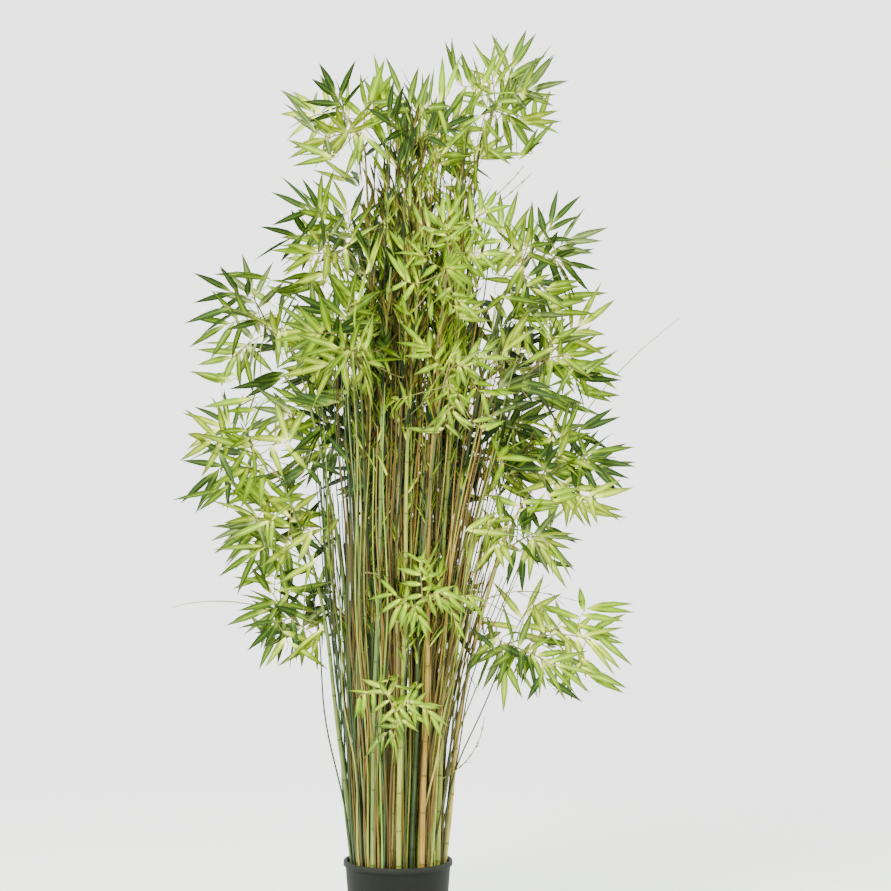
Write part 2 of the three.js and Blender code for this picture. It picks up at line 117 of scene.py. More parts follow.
class Finish:
    """A material that is built node by node round one shader. A colour may be given as its code."""

    def __init__(self, name, **constants):
        self.material = bpy.data.materials.new(name)
        self.material.use_nodes = True
        self.tree = self.material.node_tree
        self.shader = next(n for n in self.tree.nodes if n.type == "BSDF_PRINCIPLED")
        for socket, value in constants.items():
            self.shader.inputs[socket.replace("_", " ")].default_value = value

    def node(self, kind, settings=None, values=None, out=0):
        made = self.tree.nodes.new(kind)
        for name, value in (settings or {}).items():
            setattr(made, name, value)
        for socket, value in (values or {}).items():
            if isinstance(value, Wire):
                self.tree.links.new(value.socket, made.inputs[socket])
            else:
                made.inputs[socket].default_value = colour(value) if isinstance(value, str) else value
        return Wire(self, made.outputs[out])

    def feed(self, socket, wire):
        self.tree.links.new(wire.socket, self.shader.inputs[socket])

    def mix(self, share, a, b):
        return self.node("ShaderNodeMix", {"data_type": "RGBA"}, {0: share, 6: a, 7: b}, out=2)

    def place(self, stretch=(1, 1, 1)):
        """Places on the piece in metres, with each axis stretched."""
        points = self.node("ShaderNodeTexCoord", out=3)
        return self.node("ShaderNodeMapping", {}, {0: points, 3: stretch})

    def noise(self, scale, detail=3.0, rough=0.5, stretch=(1, 1, 1)):
        """Cloudy grain, so many grains to the metre."""
        values = {"Vector": self.place(stretch), "Scale": scale, "Detail": detail, "Roughness": rough}
        return self.node("ShaderNodeTexNoise", {}, values)

    def ramp(self, wire, *stops):
        """Colours by a wire's value, from pairs of a value and a colour code."""
        made = self.node("ShaderNodeValToRGB", {}, {0: wire})
        elements = made.socket.node.color_ramp.elements
        for _ in stops[2:]:
            elements.new(1.0)
        for element, (value, code) in zip(elements, stops):
            element.position = value
            element.color = colour(code)
        return made

    def bump(self, height, strength, distance):
        values = {"Height": height, "Strength": strength, "Distance": distance}
        self.feed("Normal", self.node("ShaderNodeBump", {}, values))


print("leaf green:", [round(v, 3) for v in colour("7f9a4a")])

# %% [markdown]
# The photograph's background is an even, very pale green-white. Its light is soft and comes from all round,
# with more from the upper front. An even sky of the background's colour gives the soft part, and two wide
# panels give the leaves their bright sides.
# The floor is a pale disc that fades out before its edge, so no horizon crosses the picture.

# %% The light and the floor
SKY = colour("f7fcf6")
SKY_STRENGTH = 3.1
# Each panel: where it stands, its width and its power
PANELS = {"front_light": ((-1.6, -2.6, 3.3), 1.1, 350), "side_light": ((2.6, -1.0, 2.4), 1.2, 40)}
PANEL_AIM = Vector((0.05, 0, 0.9))
FLOOR_RADIUS = 3.0
FLOOR_SOLID = 0.7
FLOOR_SIDES = 96
world = bpy.data.worlds.new("soft_studio")
world.use_nodes = True
sky = next(n for n in world.node_tree.nodes if n.type == "BACKGROUND")
sky.inputs[0].default_value = SKY
sky.inputs[1].default_value = SKY_STRENGTH
bpy.context.scene.world = world
for name, (place, width, power) in PANELS.items():
    panel = bpy.data.lights.new(name, "AREA")
    panel.shape = "DISK"
    panel.size = width
    panel.energy = power
    lamp = show(name, panel)
    lamp.location = place
    lamp.rotation_euler = (PANEL_AIM - Vector(place)).to_track_quat("-Z", "Y").to_euler()


def mesh_of(bm, name):
    """A mesh of what bmesh has made."""
    mesh = bpy.data.meshes.new(name)
    bm.to_mesh(mesh)
    bm.free()
    return mesh


def arrays_of(bm):
    """The points and faces of what bmesh has made."""
    bm.verts.index_update()
    points = np.array([v.co[:] for v in bm.verts])
    faces = [[v.index for v in f.verts] for f in bm.faces]
    bm.free()
    return points, faces


bm = bmesh.new()
bmesh.ops.create_circle(bm, cap_ends=True, segments=FLOOR_SIDES, radius=FLOOR_RADIUS)
floor = show("floor", mesh_of(bm, "floor"))
pale = Finish("pale_floor", Base_Color=SKY, Roughness=0.9)
from_middle = pale.node("ShaderNodeVectorMath", {"operation": "LENGTH"}, {0: pale.place()}, out=1)
fade = 1 - ((from_middle - FLOOR_SOLID) * (1 / (FLOOR_RADIUS - FLOOR_SOLID))).clamped()
pale.feed("Alpha", fade * fade)
floor.data.materials.append(pale.material)
print("floor disc:", FLOOR_RADIUS, "m")

# %% [markdown]
# The plant is grown by one seeded rule, in millimetres, which the solids follow too.
# Random numbers come from a plain 32-bit generator, so each run gives the same plant, and every mass of
# foliage has a generator of its own. A particle system could scatter leaves as well, but it can't keep a leaf
# clear of its neighbours.

# %% Sizes of the plant
MM = 0.001
POT_HEIGHT = 160
POT_FOOT_RADIUS = 80
POT_RIM_RADIUS = 95
POT_WALL = 3
POT_FLOOR = 5
RIM_BEAD_HEIGHT = 10
RIM_BEAD_PROUD = 3.5
FILL_BELOW_RIM = 26
GAP = 0.3
FILL_TOP = POT_HEIGHT - FILL_BELOW_RIM
CANE_FOOT = FILL_TOP + GAP

CANE_FOOT_RADIUS = 4.5
CANE_TIP_RADIUS = 1.7
CANE_TAPER_POWER = 1.5
CLUMP_RADIUS = 80
# Each ring of feet: how many, its share of the clump's radius, and its turn
FOOT_RINGS = ((3, 0.18, 0.4), (7, 0.45, 0.2), (10, 0.73, 0.15), (12, 1, 0))
FOOT_RANGE = 4
FEET_SEED = 147
PLAIN_CANE_SPREAD = 1.12
PLAIN_CANE_TOP = 1410
PLAIN_CANE_RANGE = 260
LEAN_SHARE = 0.5
CURL_POWER = 4
CANE_SWAY = 3
SWAY_TURNS = 1.5
SLOPE_STEP = 0.02
TOP_DRIFT = 52
DRIFT_POWER = 2

STEM_PAST_MIDDLE = 0.15
STEM_RISE = 0.35
SIDE_STEM_BEND = 0.4
FIRST_TWIG = 0.45
WHIP_ROOT = 0.8
SPRAY_SHELL = 0.48
SHELL_SPAN = 1.5
SHELL_LIFT = 0.5
TIP_INWARD = 0.25
TIP_INWARD_LIMIT = 0.6
TIP_BELOW = 0.5
SIDE_BELOW = 0.35
ASIDE_LOSS = 0.5
OUTER_MASS = 230
INNERMOST_FOOT = 0.15
FIRST_MASS_SEED = 100
SAMPLES = 8
SAMPLE_SHARES = np.arange(1, SAMPLES + 1) / SAMPLES
SPACE_POWER = 4
TWIG_ROOM = 2.9
GOLDEN_ANGLE = math.pi * (3 - math.sqrt(5))
RIGHT = np.array([1.0, 0.0, 0.0])
UP = np.array([0.0, 0.0, 1.0])
UPRIGHT = 0.9

# %% The masses of foliage
Mass = namedtuple("Mass", "middle reach sprays sag fine shift", defaults=(24, (0, 0, 0)))
# Each has the middle and half sizes of its space, its count of coarse sprays and how far its leaves sag. Some
# have a count of fine twigs of their own, and a shift of these, in shares of the half sizes.
MASSES = {
    "top_left": Mass((-95, 10, 1450), (118, 110, 120), 5, -0.1, 13, (0, 0, 0.35)),
    "top_middle": Mass((35, -45, 1440), (110, 115, 115), 5, -0.2, 11, (0, 0, 0.2)),
    "top_right": Mass((182, 10, 1490), (118, 110, 122), 6, -0.35, 12, (0, 0, 0.35)),
    "top_back": Mass((60, 120, 1415), (125, 115, 120), 5, 0, 6),
    "upper_left": Mass((-130, -15, 1235), (128, 120, 125), 5, 0.1, 21, (-0.25, 0, 0.05)),
    "upper_right": Mass((240, 0, 1215), (125, 115, 125), 5, 0.1, 13, (0.1, 0, 0.55)),
    "upper_front": Mass((95, -120, 1205), (120, 130, 125), 5, 0.1, 15),
    "upper_back": Mass((20, 145, 1225), (135, 130, 125), 4, 0.1),
    "outer_left": Mass((-245, 20, 1090), (125, 115, 130), 5, 0.1, 14, (0, 0, 0.05)),
    "middle_left": Mass((-95, -85, 1060), (120, 125, 125), 5, 0.1),
    "outer_right": Mass((280, 20, 1050), (120, 115, 125), 5, 0.1, shift=(0, 0, -0.2)),
    "middle_front": Mass((88, -125, 1010), (125, 130, 120), 5, 0.2, 14),
    "middle_back_left": Mass((-90, 155, 1045), (135, 130, 125), 5, 0.1),
    "middle_back_right": Mass((155, 155, 1050), (130, 130, 125), 5, 0.1),
    "left_arm": Mass((-275, -10, 875), (130, 115, 120), 6, 0.2, 11, (-0.12, 0, 0)),
    "shaded_left": Mass((-115, 45, 900), (125, 115, 120), 4, 0.2, shift=(0.35, 0, 0)),
    "shaded_right": Mass((165, 50, 890), (120, 110, 120), 4, 0.2),
    "right_arm": Mass((285, -20, 845), (130, 115, 125), 6, 0.2, 18, (0, 0, -0.15)),
    "low_left": Mass((-215, 10, 725), (125, 105, 112), 5, 0.4, 21, (-0.1, 0, -0.1)),
    "low_right": Mass((215, -10, 715), (110, 105, 95), 5, 0.4, 9, (0, 0, -0.45)),
    "low_back": Mass((30, 150, 805), (135, 130, 115), 5, 0.3),
    "bottom_left": Mass((-190, 0, 585), (108, 100, 100), 5, 0.35, 12, (0, 0, -0.15)),
    "low_front": Mass((45, -125, 620), (120, 110, 105), 5, 0.7, 8),
    "bottom_right": Mass((262, 0, 545), (155, 105, 115), 6, 0.5, 13, (0, 0, 0.45)),
    "bottom_front": Mass((0, -130, 425), (90, 90, 120), 4, 0.8, 7),
    "bottom_back": Mass((40, 160, 590), (120, 100, 105), 4, 0.4),
}
# These masses grow on from a cane's side, and the others from a cane's tip
ON_A_SIDE = "low_left low_right low_front bottom_left bottom_right bottom_front bottom_back".split()
# Two long bare shoots, each by the point it bends towards and its end
WHIPS = {
    "right_arm": ((325, 0, 975), (490, 20, 1101)),
    "bottom_left": ((-305, 0, 625), (-393, 0, 598)),
}
MIDDLES = np.array([mass.middle for mass in MASSES.values()])
print("masses:", len(MASSES), "highest middle:", MIDDLES[:, 2].max(), "mm")


# %% Seeded random numbers, and places in space
def random_from(seed):
    """A generator of numbers from 0 to 1."""
    state = (seed + 1) * 2654435761 % 2**32

    def draw():
        nonlocal state
        state = (state * 1664525 + 1013904223) % 2**32
        return state / 2**32

    return draw


def either(draw):
    return 2 * draw() - 1


def between(limits, draw):
    return limits[0] + (limits[1] - limits[0]) * draw()


def unit(vector):
    return vector / norm(vector)


def on_ring(radius, angle, height=0.0):
    return np.array([radius * math.cos(angle), radius * math.sin(angle), height])


def turned(vector, axis, angle):
    """A vector turned about an axis."""
    along = axis * np.dot(axis, vector)
    return along + (vector - along) * math.cos(angle) + np.cross(axis, vector) * math.sin(angle)


def square_to(along):
    return unit(np.cross(RIGHT if abs(along[2]) > UPRIGHT else UP, along))


def bezier(start, bend, end):
    """A bent route, by its share."""

    def at(share):
        s = np.asarray(share, float)[..., None]
        return (1 - s) ** 2 * start + 2 * s * (1 - s) * bend + s**2 * end

    return at


# %% [markdown]
# The canes stand in four rings in the filling. Each cane that carries foliage takes the free foot nearest its
# own side, leans out and curls towards its mass near the top. The others run nearly straight up through the
# crown, whose axis drifts a little to the right.

# %% The canes' routes
def drift_at(z):
    return TOP_DRIFT * (z / PLAIN_CANE_TOP) ** DRIFT_POWER


def outward(point):
    """From the crown's axis to a point, seen from above."""
    return np.array([point[0] - drift_at(point[2]), point[1]])


def cane_feet():
    draw = random_from(FEET_SEED)
    feet = []
    for count, share, turn in FOOT_RINGS:
        for k in range(count):
            radius = CLUMP_RADIUS * share - FOOT_RANGE * draw()
            angle = math.tau * k / count + turn + FOOT_RANGE / radius * either(draw)
            feet.append(on_ring(radius, angle)[:2])
    return np.array(feet)


def tip_under(name):
    """The tip of a mass's cane, inward of its middle and below it."""
    mass = MASSES[name]
    out = outward(mass.middle)
    back = unit(out) * min(TIP_INWARD * norm(out), TIP_INWARD_LIMIT * mass.reach[0])
    return np.subtract(mass.middle, [*back, TIP_BELOW * mass.reach[2]])


def plant_canes():
    """The canes' feet and tips, and the cane that each tip mass grows on."""
    feet = cane_feet()
    free = list(range(len(feet)))
    tips = np.zeros((len(feet), 3))
    bearers = {}
    carried = [name for name in MASSES if name not in ON_A_SIDE]
    carried.sort(key=lambda name: -norm(outward(MASSES[name].middle)))
    for name in carried:
        out = outward(MASSES[name].middle)
        share = min(1, max(INNERMOST_FOOT, norm(out) / OUTER_MASS))
        wish = unit(out) * CLUMP_RADIUS * share
        foot = min(free, key=lambda k: norm(feet[k] - wish))
        free.remove(foot)
        tips[foot] = tip_under(name)
        bearers[name] = foot
    for k in free:
        top = PLAIN_CANE_TOP - PLAIN_CANE_RANGE * random_from(k)()
        spread = feet[k] * PLAIN_CANE_SPREAD
        tips[k] = (spread[0] + drift_at(top), spread[1], top)
    return feet, tips, bearers


FEET, TIPS, BEARERS = plant_canes()
SEEDS = np.arange(len(FEET))
ALL = slice(None)


def on_canes(share, which=ALL):
    """The middles of canes at shares of their heights."""
    s = np.clip(share, 0, None)
    foot, tip, seed = FEET[which], TIPS[which], SEEDS[which]
    out = LEAN_SHARE * s + (1 - LEAN_SHARE) * s**CURL_POWER
    sway = CANE_SWAY * np.sin(math.pi * s) * np.sin(math.tau * SWAY_TURNS * s + seed)
    x = foot[..., 0] + (tip[..., 0] - foot[..., 0]) * out + sway
    y = foot[..., 1] + (tip[..., 1] - foot[..., 1]) * out + sway * np.cos(seed)
    return np.stack([x, y, CANE_FOOT + (tip[..., 2] - CANE_FOOT) * s], axis=-1)


def share_at(z, which=ALL):
    return np.clip((z - CANE_FOOT) / (TIPS[which][..., 2] - CANE_FOOT), 0, 1)


def canes_at(z, which=ALL):
    return on_canes(share_at(z, which), which)


def cane_radius(share):
    return CANE_FOOT_RADIUS + (CANE_TIP_RADIUS - CANE_FOOT_RADIUS) * share**CANE_TAPER_POWER


print("canes:", len(FEET), "that carry foliage:", len(BEARERS), "tallest:", TIPS[:, 2].max().round(), "mm")


# %% Room for a twig or a leaf
def clear_of_canes(points, room):
    """True if every point keeps clear of every cane."""
    share = share_at(points[:, 2:])
    middle = on_canes(share)
    ahead = on_canes(np.minimum(1, share + SLOPE_STEP)) - on_canes(np.maximum(0, share - SLOPE_STEP))
    upright = ahead[..., 2] / norm(ahead, axis=-1)
    away = np.hypot(points[:, None, 0] - middle[..., 0], points[:, None, 1] - middle[..., 1])
    above = points[:, 2:] > TIPS[:, 2] + room
    return bool(np.all(above | (away * upright > cane_radius(share) + room)))


def in_reach(points, name):
    """True if every point lies within a mass's reach."""
    mass = MASSES[name]
    return bool(np.all(np.sum(((points - mass.middle) / mass.reach) ** SPACE_POWER, axis=1) < 1))


def in_space(points, name, room):
    """True if every point lies within a mass's reach, and nearest its middle."""
    middle = MASSES[name].middle
    others = np.delete(MIDDLES, list(MASSES).index(name), axis=0)
    own = np.sum((points - middle) ** 2, axis=1)[:, None]
    theirs = np.sum((points[:, None] - others) ** 2, axis=2)
    nearest = np.all((theirs - own) / (2 * norm(others - middle, axis=1)) > room)
    return bool(nearest) and in_reach(points, name)


# %% [markdown]
# A mass starts from one stem. Coarse twigs leave the stem for places on a shell inside the mass, and each
# ends in a spray of leaves. These are the solids' twigs, and they keep to the mass's own space.
# Here the rule runs on: finer twigs leave the coarse ones for places all through the mass's reach. They point
# out from the crown's axis and rise near its top. A few sprays are placed one by one, where the photograph
# shows one in a gap of the rule. A twig or leaf that would touch a cane is left out.

# %% The stems and the coarse twigs
def bearer_of(name):
    """The cane that a mass grows on, and how far up it."""
    if name in BEARERS:
        return BEARERS[name], 1.0
    mass = MASSES[name]
    out = unit(outward(mass.middle))
    height = mass.middle[2] - SIDE_BELOW * mass.reach[2]
    canes = canes_at(height)
    aside = np.abs(canes[:, 0] * out[1] - canes[:, 1] * out[0])
    cane = int(np.argmax(canes[:, 0] * out[0] + canes[:, 1] * out[1] - ASIDE_LOSS * aside))
    return cane, float(share_at(height, cane))


def stem_of(name):
    cane, share = bearer_of(name)
    middle = MASSES[name].middle
    root = on_canes(share, cane)
    end = middle + (middle - root) * STEM_PAST_MIDDLE
    rise = STEM_RISE * norm(end - root)
    if name in ON_A_SIDE:
        heading = (end - root + UP * rise) * SIDE_STEM_BEND
    else:
        heading = unit(root - on_canes(1 - SLOPE_STEP, cane)) * rise
    return bezier(root, root + heading, end)


def spray_places(name, draw):
    """Places spread evenly over a shell inside a mass."""
    mass = MASSES[name]
    turn = math.tau * draw()
    lean = unit(np.array([*outward(mass.middle), SHELL_LIFT * OUTER_MASS]))
    axis = unit(np.cross(UP, lean))
    tilt = math.acos(lean[2])
    places = []
    for i in range(mass.sprays):
        height = 1 - SHELL_SPAN * (i + 0.5) / mass.sprays
        ring = math.sqrt(1 - height * height)
        place = turned(on_ring(ring, turn + i * GOLDEN_ANGLE, height), axis, tilt)
        places.append(mass.middle + place * mass.reach * SPRAY_SHELL)
    return places


def coarse_twigs(name, stem, draw):
    last = max(1, MASSES[name].sprays - 1)
    twigs = []
    for i, tip in enumerate(spray_places(name, draw)):
        start = stem(FIRST_TWIG + (1 - FIRST_TWIG) * (1 - i / last))
        points = start + (tip - start) * SAMPLE_SHARES[:, None]
        if in_space(points, name, TWIG_ROOM) and clear_of_canes(points, TWIG_ROOM):
            twigs.append((start, tip))
    return twigs


# %% Finer twigs
FINE_SEED = 300
# The sprays placed one by one: the tip of each one's twig, and where it points
PLACED_TWIGS = {
    "top_left": (((-88, -10, 1425), (-0.5, -0.2, -0.9)), ((-60, -30, 1410), (-0.4, -0.3, -0.8))),
    "top_right": (((195, 0, 1450), (0.5, -0.1, -0.8)), ((150, -15, 1440), (0.3, -0.2, -0.9))),
    "upper_left": (((-88, -20, 1285), (-0.3, -0.1, 0.9)),),
    "upper_right": (((180, -15, 1255), (0.1, -0.1, 1)), ((205, 5, 1195), (0.5, 0, 0.8))),
    "left_arm": (((-190, -5, 935), (-1, -0.1, -0.2)), ((-195, -20, 890), (-1, -0.1, 0.3))),
    "bottom_right": (
        ((190, -25, 535), (-0.2, -0.2, -1)),
        ((225, -30, 520), (0.4, -0.1, -1)),
        ((335, -10, 600), (0.9, 0, 0.3)),
        ((340, 5, 555), (1, 0, -0.4)),
    ),
}
FINE_CHOICES = 5
FINE_EDGE = 0.94
FINE_ROOM = 1.4
FINE_FROM = (0.3, 0.9)
TWIG_SWEEP = 0.3
TWIG_BEND = 0.4
TWIG_BOW = 0.06
# How far a mass's sprays gather away from the open air, in shares of its reach
AIR_SHIFT = 0.42
LOWEST_RISE = -0.9
# A spray points out from the crown's axis, rises near the top and in the core, and hangs near the foot
CROWN_MIDDLE = 1000
CROWN_HALF = 450
RISE = 0.12
RISE_SPAN = 0.5
CORE_RISE = 0.6
HEADING_STRAY = 0.5
OWN_HEADING = 0.35
LEAVES_AHEAD = 45


def either_way(draw):
    return np.array([either(draw) for _ in range(3)])


def bowed(start, end):
    """A twig's route, bowed up a little in its middle."""
    return bezier(start, (start + end) / 2 + UP * TWIG_BOW * norm(end - start), end)


def swept(root, tip, heading):
    """A twig's route that ends in a heading."""
    return bezier(root, tip - heading * TWIG_BEND * norm(tip - root), tip)


def air_side(middle):
    """The direction from a mass to the open air: away from the crown's middle."""
    rise = (middle[2] - CROWN_MIDDLE) / CROWN_HALF
    return unit(np.array([*outward(middle) / OUTER_MASS, 0 if rise < LOWEST_RISE else rise]))


def spray_heading(root, tip, draw):
    out = outward(tip) / OUTER_MASS
    height = max(-1, min(1, (tip[2] - CROWN_MIDDLE) / CROWN_HALF))
    rise = RISE + RISE_SPAN * height + CORE_RISE * max(0, 1 - norm(out)) * (1 + min(0, height))
    stray = HEADING_STRAY * either_way(draw)
    return unit(np.array([*out, rise]) + stray + OWN_HEADING * unit(tip - root))


def twig_root(limbs, tip):
    """The point where a twig for this tip leaves the nearest limb."""
    roots = []
    for start, end in limbs:
        along = end - start
        share = np.dot(tip - start, along) / np.dot(along, along) - TWIG_SWEEP
        roots.append(start + along * min(FINE_FROM[1], max(FINE_FROM[0], share)))
    return roots[int(np.argmin([norm(tip - r) for r in roots]))]


def fine_twigs(name, limbs, tips, draw):
    """The twigs that are listed, and more to places scattered through a mass, each the loneliest of a few."""
    mass = MASSES[name]
    shift = AIR_SHIFT * air_side(mass.middle) + mass.shift
    made = []
    for tip, heading in PLACED_TWIGS.get(name, ()):
        tip = np.array(tip, float)
        made.append(swept(twig_root(limbs, tip), tip, unit(np.array(heading, float))))
        tips.append(tip)
    for _ in range(mass.fine):
        choices = []
        while len(choices) < FINE_CHOICES:
            tip = mass.middle + mass.reach * (FINE_EDGE * either_way(draw) - shift)
            root = twig_root(limbs, tip)
            heading = spray_heading(root, tip, draw)
            if in_reach(np.array([tip, tip + heading * LEAVES_AHEAD]), name):
                choices.append((root, tip, heading))
        away = [min([norm(choice[1] - other) for other in tips]) for choice in choices]
        choice = choices[int(np.argmax(away))]
        route = swept(*choice)
        points = route(SAMPLE_SHARES)
        if in_reach(points, name) and clear_of_canes(points, FINE_ROOM):
            made.append(route)
            tips.append(choice[1])
    return made


# %% Leaves in sprays
LEAF_LENGTH = 84
LEAF_WIDTH = 12.5
LEAF_WIDEST = 0.4
FIRST_LEAF = 1
LEAF_STAGGER = 8.5
LEAF_ANGLES = (4, 28, 42, 54, 64, 72)
ANGLE_RANGE = 6
SPRAY_TURN = 0.8
LEAF_LEAN = 0.25
LEAF_TURN = 0.5
LEAST_SAG = 0.3
LENGTH_LOSS = 0.03
LENGTH_RANGE = 0.12
SHORTER = 0.1
LEAF_TRIES = 2
LEAVES_APART = 2.0
LEAVES_NEAR = 1.2
LEAF_CANE_ROOM = 2.5
ROUTE_STEP = 0.02
# The front masses' leaves are shorter, so that the canes show between them
SHORT_LEAVED = {"low_front": 0.55, "bottom_front": 0.55, "middle_front": 0.62, "upper_front": 0.68}


def clear_of_leaves(points, lines):
    """True if every point keeps clear of the middle line of every leaf near by."""
    root, along = lines[:, 0], lines[:, 1]
    near = norm(root + along / 2 - points[SAMPLES // 2], axis=1) < LEAF_LENGTH * LEAVES_NEAR
    root, along = root[near], along[near]
    reach = points[:, None] - root
    share = np.clip(np.sum(reach * along, axis=2) / np.sum(along * along, axis=1), 0, 1)
    return bool(np.all(norm(reach - share[..., None] * along, axis=2) > LEAVES_APART))


def spray_leaves(route, sag, longest, draw):
    """The tries for each leaf of a spray: its root, heading, face, length and share of the full width."""
    twig_length = norm(route(1.0) - route(0.0))
    ahead = unit(route(1.0) - route(1 - ROUTE_STEP))
    flat = turned(square_to(ahead), ahead, SPRAY_TURN * either(draw))
    first_side = -1 if draw() < 0.5 else 1
    for i, steer in enumerate(LEAF_ANGLES):
        side = first_side if i % 2 == 0 else -first_side
        share = max(ROUTE_STEP, 1 - (FIRST_LEAF + LEAF_STAGGER * i) / twig_length)
        root = route(share)
        along = unit(root - route(share - ROUTE_STEP))
        across = unit(np.cross(flat, along))
        face = np.cross(along, across)
        tries = []
        for attempt in range(1, LEAF_TRIES + 1):
            angle = math.radians(steer + ANGLE_RANGE * attempt * either(draw)) * side
            droop = sag * (LEAST_SAG + (1 - LEAST_SAG) * draw())
            lean = LEAF_LEAN * attempt * either(draw)
            heading = unit(along * math.cos(angle) + across * math.sin(angle) - UP * droop + face * lean)
            roll = turned(face, heading, LEAF_TURN * either(draw))
            fit = (1 - LENGTH_LOSS * i) * (1 + LENGTH_RANGE * either(draw)) * (1 - SHORTER * (attempt - 1))
            tries.append((root, heading, roll, longest * fit, math.sqrt(longest / LEAF_LENGTH)))
        yield tries


def leaf_points(root, heading, face, length, wide):
    """Points along a leaf's rib, and one on each side where it is widest."""
    half = unit(np.cross(face, heading)) * wide * LEAF_WIDTH / 2
    widest = root + heading * LEAF_WIDEST * length
    return np.vstack([root + heading * (length * SAMPLE_SHARES)[:, None], widest + half, widest - half])


def grow_leaves(routes, name, crowd, draw):
    """The leaves of each twig that have room. The crowd gets the root and line of each."""
    grown = []
    longest = LEAF_LENGTH * SHORT_LEAVED.get(name, 1)
    for route in routes:
        spray = []
        lines = np.array(crowd).reshape(-1, 2, 3)
        for tries in spray_leaves(route, MASSES[name].sag, longest, draw):
            for leaf in tries:
                points = leaf_points(*leaf)
                free = in_reach(points, name) and clear_of_canes(points, LEAF_CANE_ROOM)
                if free and clear_of_leaves(points, lines):
                    spray.append(leaf)
                    break
        crowd += [(root, heading * length) for root, heading, _, length, _ in spray]
        grown.append(spray)
    return grown


# %% Grow the masses
crown = {}
crowd = []
tips = [np.zeros(3)]
for index, name in enumerate(MASSES):
    stem = stem_of(name)
    limbs = coarse_twigs(name, stem, random_from(FIRST_MASS_SEED + index))
    coarse = [bowed(*limb) for limb in limbs]
    draw = random_from(FINE_SEED + index)
    fine = fine_twigs(name, limbs + [(stem(FIRST_TWIG), stem(1.0))], tips, draw)
    sprays = grow_leaves(coarse + fine, name, crowd, draw)
    crown[name] = {"stem": stem, "coarse": coarse, "fine": fine, "sprays": sprays}
twig_count = sum(len(grown["sprays"]) for grown in crown.values())
print("twigs:", twig_count, "leaves:", len(crowd))

# %% [markdown]
# Inside the crown the photograph shows a column of short leaves that stand nearly upright, close to the
# canes. They grow straight from the canes, so the joints' heights are settled first. Each short leaf keeps
# close to the clump's axis or within the reach of the nearest mass.

# %% Joints, and the short leaves on the canes
JOINT_SEED = 700
JOINT_FIRST = 38
JOINT_SPACING = 74
JOINT_RANGE = 16
JOINT_BELOW_TIP = 15
CORE_FROM = 520
CORE_ROOM = 98
CORE_HUG = 78
CORE_TOP = 1400
CORE_LEAVES = 15
CORE_ANGLES = (8, 40)
CORE_LENGTHS = (34, 62)
CORE_WIDTH = 0.54
CORE_SEED = 800
# So many points at a short leaf's root may touch a cane
AT_ROOT = 3


def joint_heights(k):
    """How far up a cane its joints are, from its foot."""
    draw = random_from(JOINT_SEED + k)
    joints = []
    place = JOINT_FIRST + JOINT_RANGE * either(draw)
    while place < TIPS[k][2] - CANE_FOOT - JOINT_BELOW_TIP:
        joints.append(place)
        place += JOINT_SPACING + JOINT_RANGE * either(draw)
    return joints


def nearest_mass(point):
    return list(MASSES)[int(np.argmin(norm(MIDDLES - point, axis=1)))]


def steep_blade(along, start, draw):
    """The side of a stem that a short leaf stands on, and its heading and face."""
    side = turned(start, along, math.tau * draw())
    angle = math.radians(between(CORE_ANGLES, draw))
    heading = unit(along * math.cos(angle) + side * math.sin(angle))
    face = unit(np.cross(np.cross(along, side), heading))
    return side, heading, turned(face, heading, LEAF_TURN * either(draw))


def core_leaves(k):
    """Short steep leaves round each joint of a cane inside the crown."""
    draw = random_from(CORE_SEED + k)
    found = []
    for joint in joint_heights(k):
        share = joint / (TIPS[k][2] - CANE_FOOT)
        middle = on_canes(share, k)
        along = unit(on_canes(share + SLOPE_STEP, k) - middle)
        inside = middle[2] > CORE_FROM and norm(outward(middle)) < CORE_ROOM
        for _ in range(CORE_LEAVES if inside else 0):
            side, heading, face = steep_blade(along, square_to(along), draw)
            root = middle + side * cane_radius(share) + along * JOINT_SPACING * (draw() - 0.5)
            leaf = (root, heading, face, between(CORE_LENGTHS, draw), CORE_WIDTH)
            points = leaf_points(*leaf)
            hugs = norm(outward(points[-1])) < CORE_HUG and points[:, 2].max() < CORE_TOP
            kept = hugs or in_reach(points, nearest_mass(root))
            if kept and clear_of_canes(points[AT_ROOT:], LEAF_CANE_ROOM):
                found.append(leaf)
    return found


short_leaves = [leaf for k in range(len(FEET)) for leaf in core_leaves(k)]
print("short leaves on the canes:", len(short_leaves))

# %% [markdown]
# Between the canes the photograph shows many finer strokes. They are taken for thin bare stems, which are too
# many and too thin for the solids. Each tries feet at random until its route keeps clear of every cane, and
# short leaves stand up along the parts that are inside the crown.

# %% Thin stems between the canes
# Each kind: how many, on which side (in half turns from the right), how high they end, how far they spread,
# and their radius at foot and tip
THIN_KINDS = (
    (170, (0, 2), (560, 1150), (1.1, 2.2), (1.7, 0.9)),
    (60, (0, 2), (1220, 1450), (0.85, 1.35), (2.1, 1.1)),
    (70, (0.7, 1.3), (700, 1120), (1.5, 2.5), (1.8, 0.9)),
    (40, (-0.3, 0.3), (640, 1100), (1.3, 2.1), (1.8, 0.9)),
)
THIN_SEED = 1000
THIN_TRIES = 24
THIN_CLUMP = 81
THIN_OUTWARD = 0.35
THIN_SUNK = 3
THIN_ROOM = 0.2
THIN_SWAY = 7
THIN_RIGHT = 1.4
THIN_CURL = 1.8
THIN_DEPTH = 0.45
THIN_POINTS = 26
STEM_LEAF_FROM = (820, 1120)
STEM_LEAF_STEP = 17
STEM_LEAF_ROOM = 112


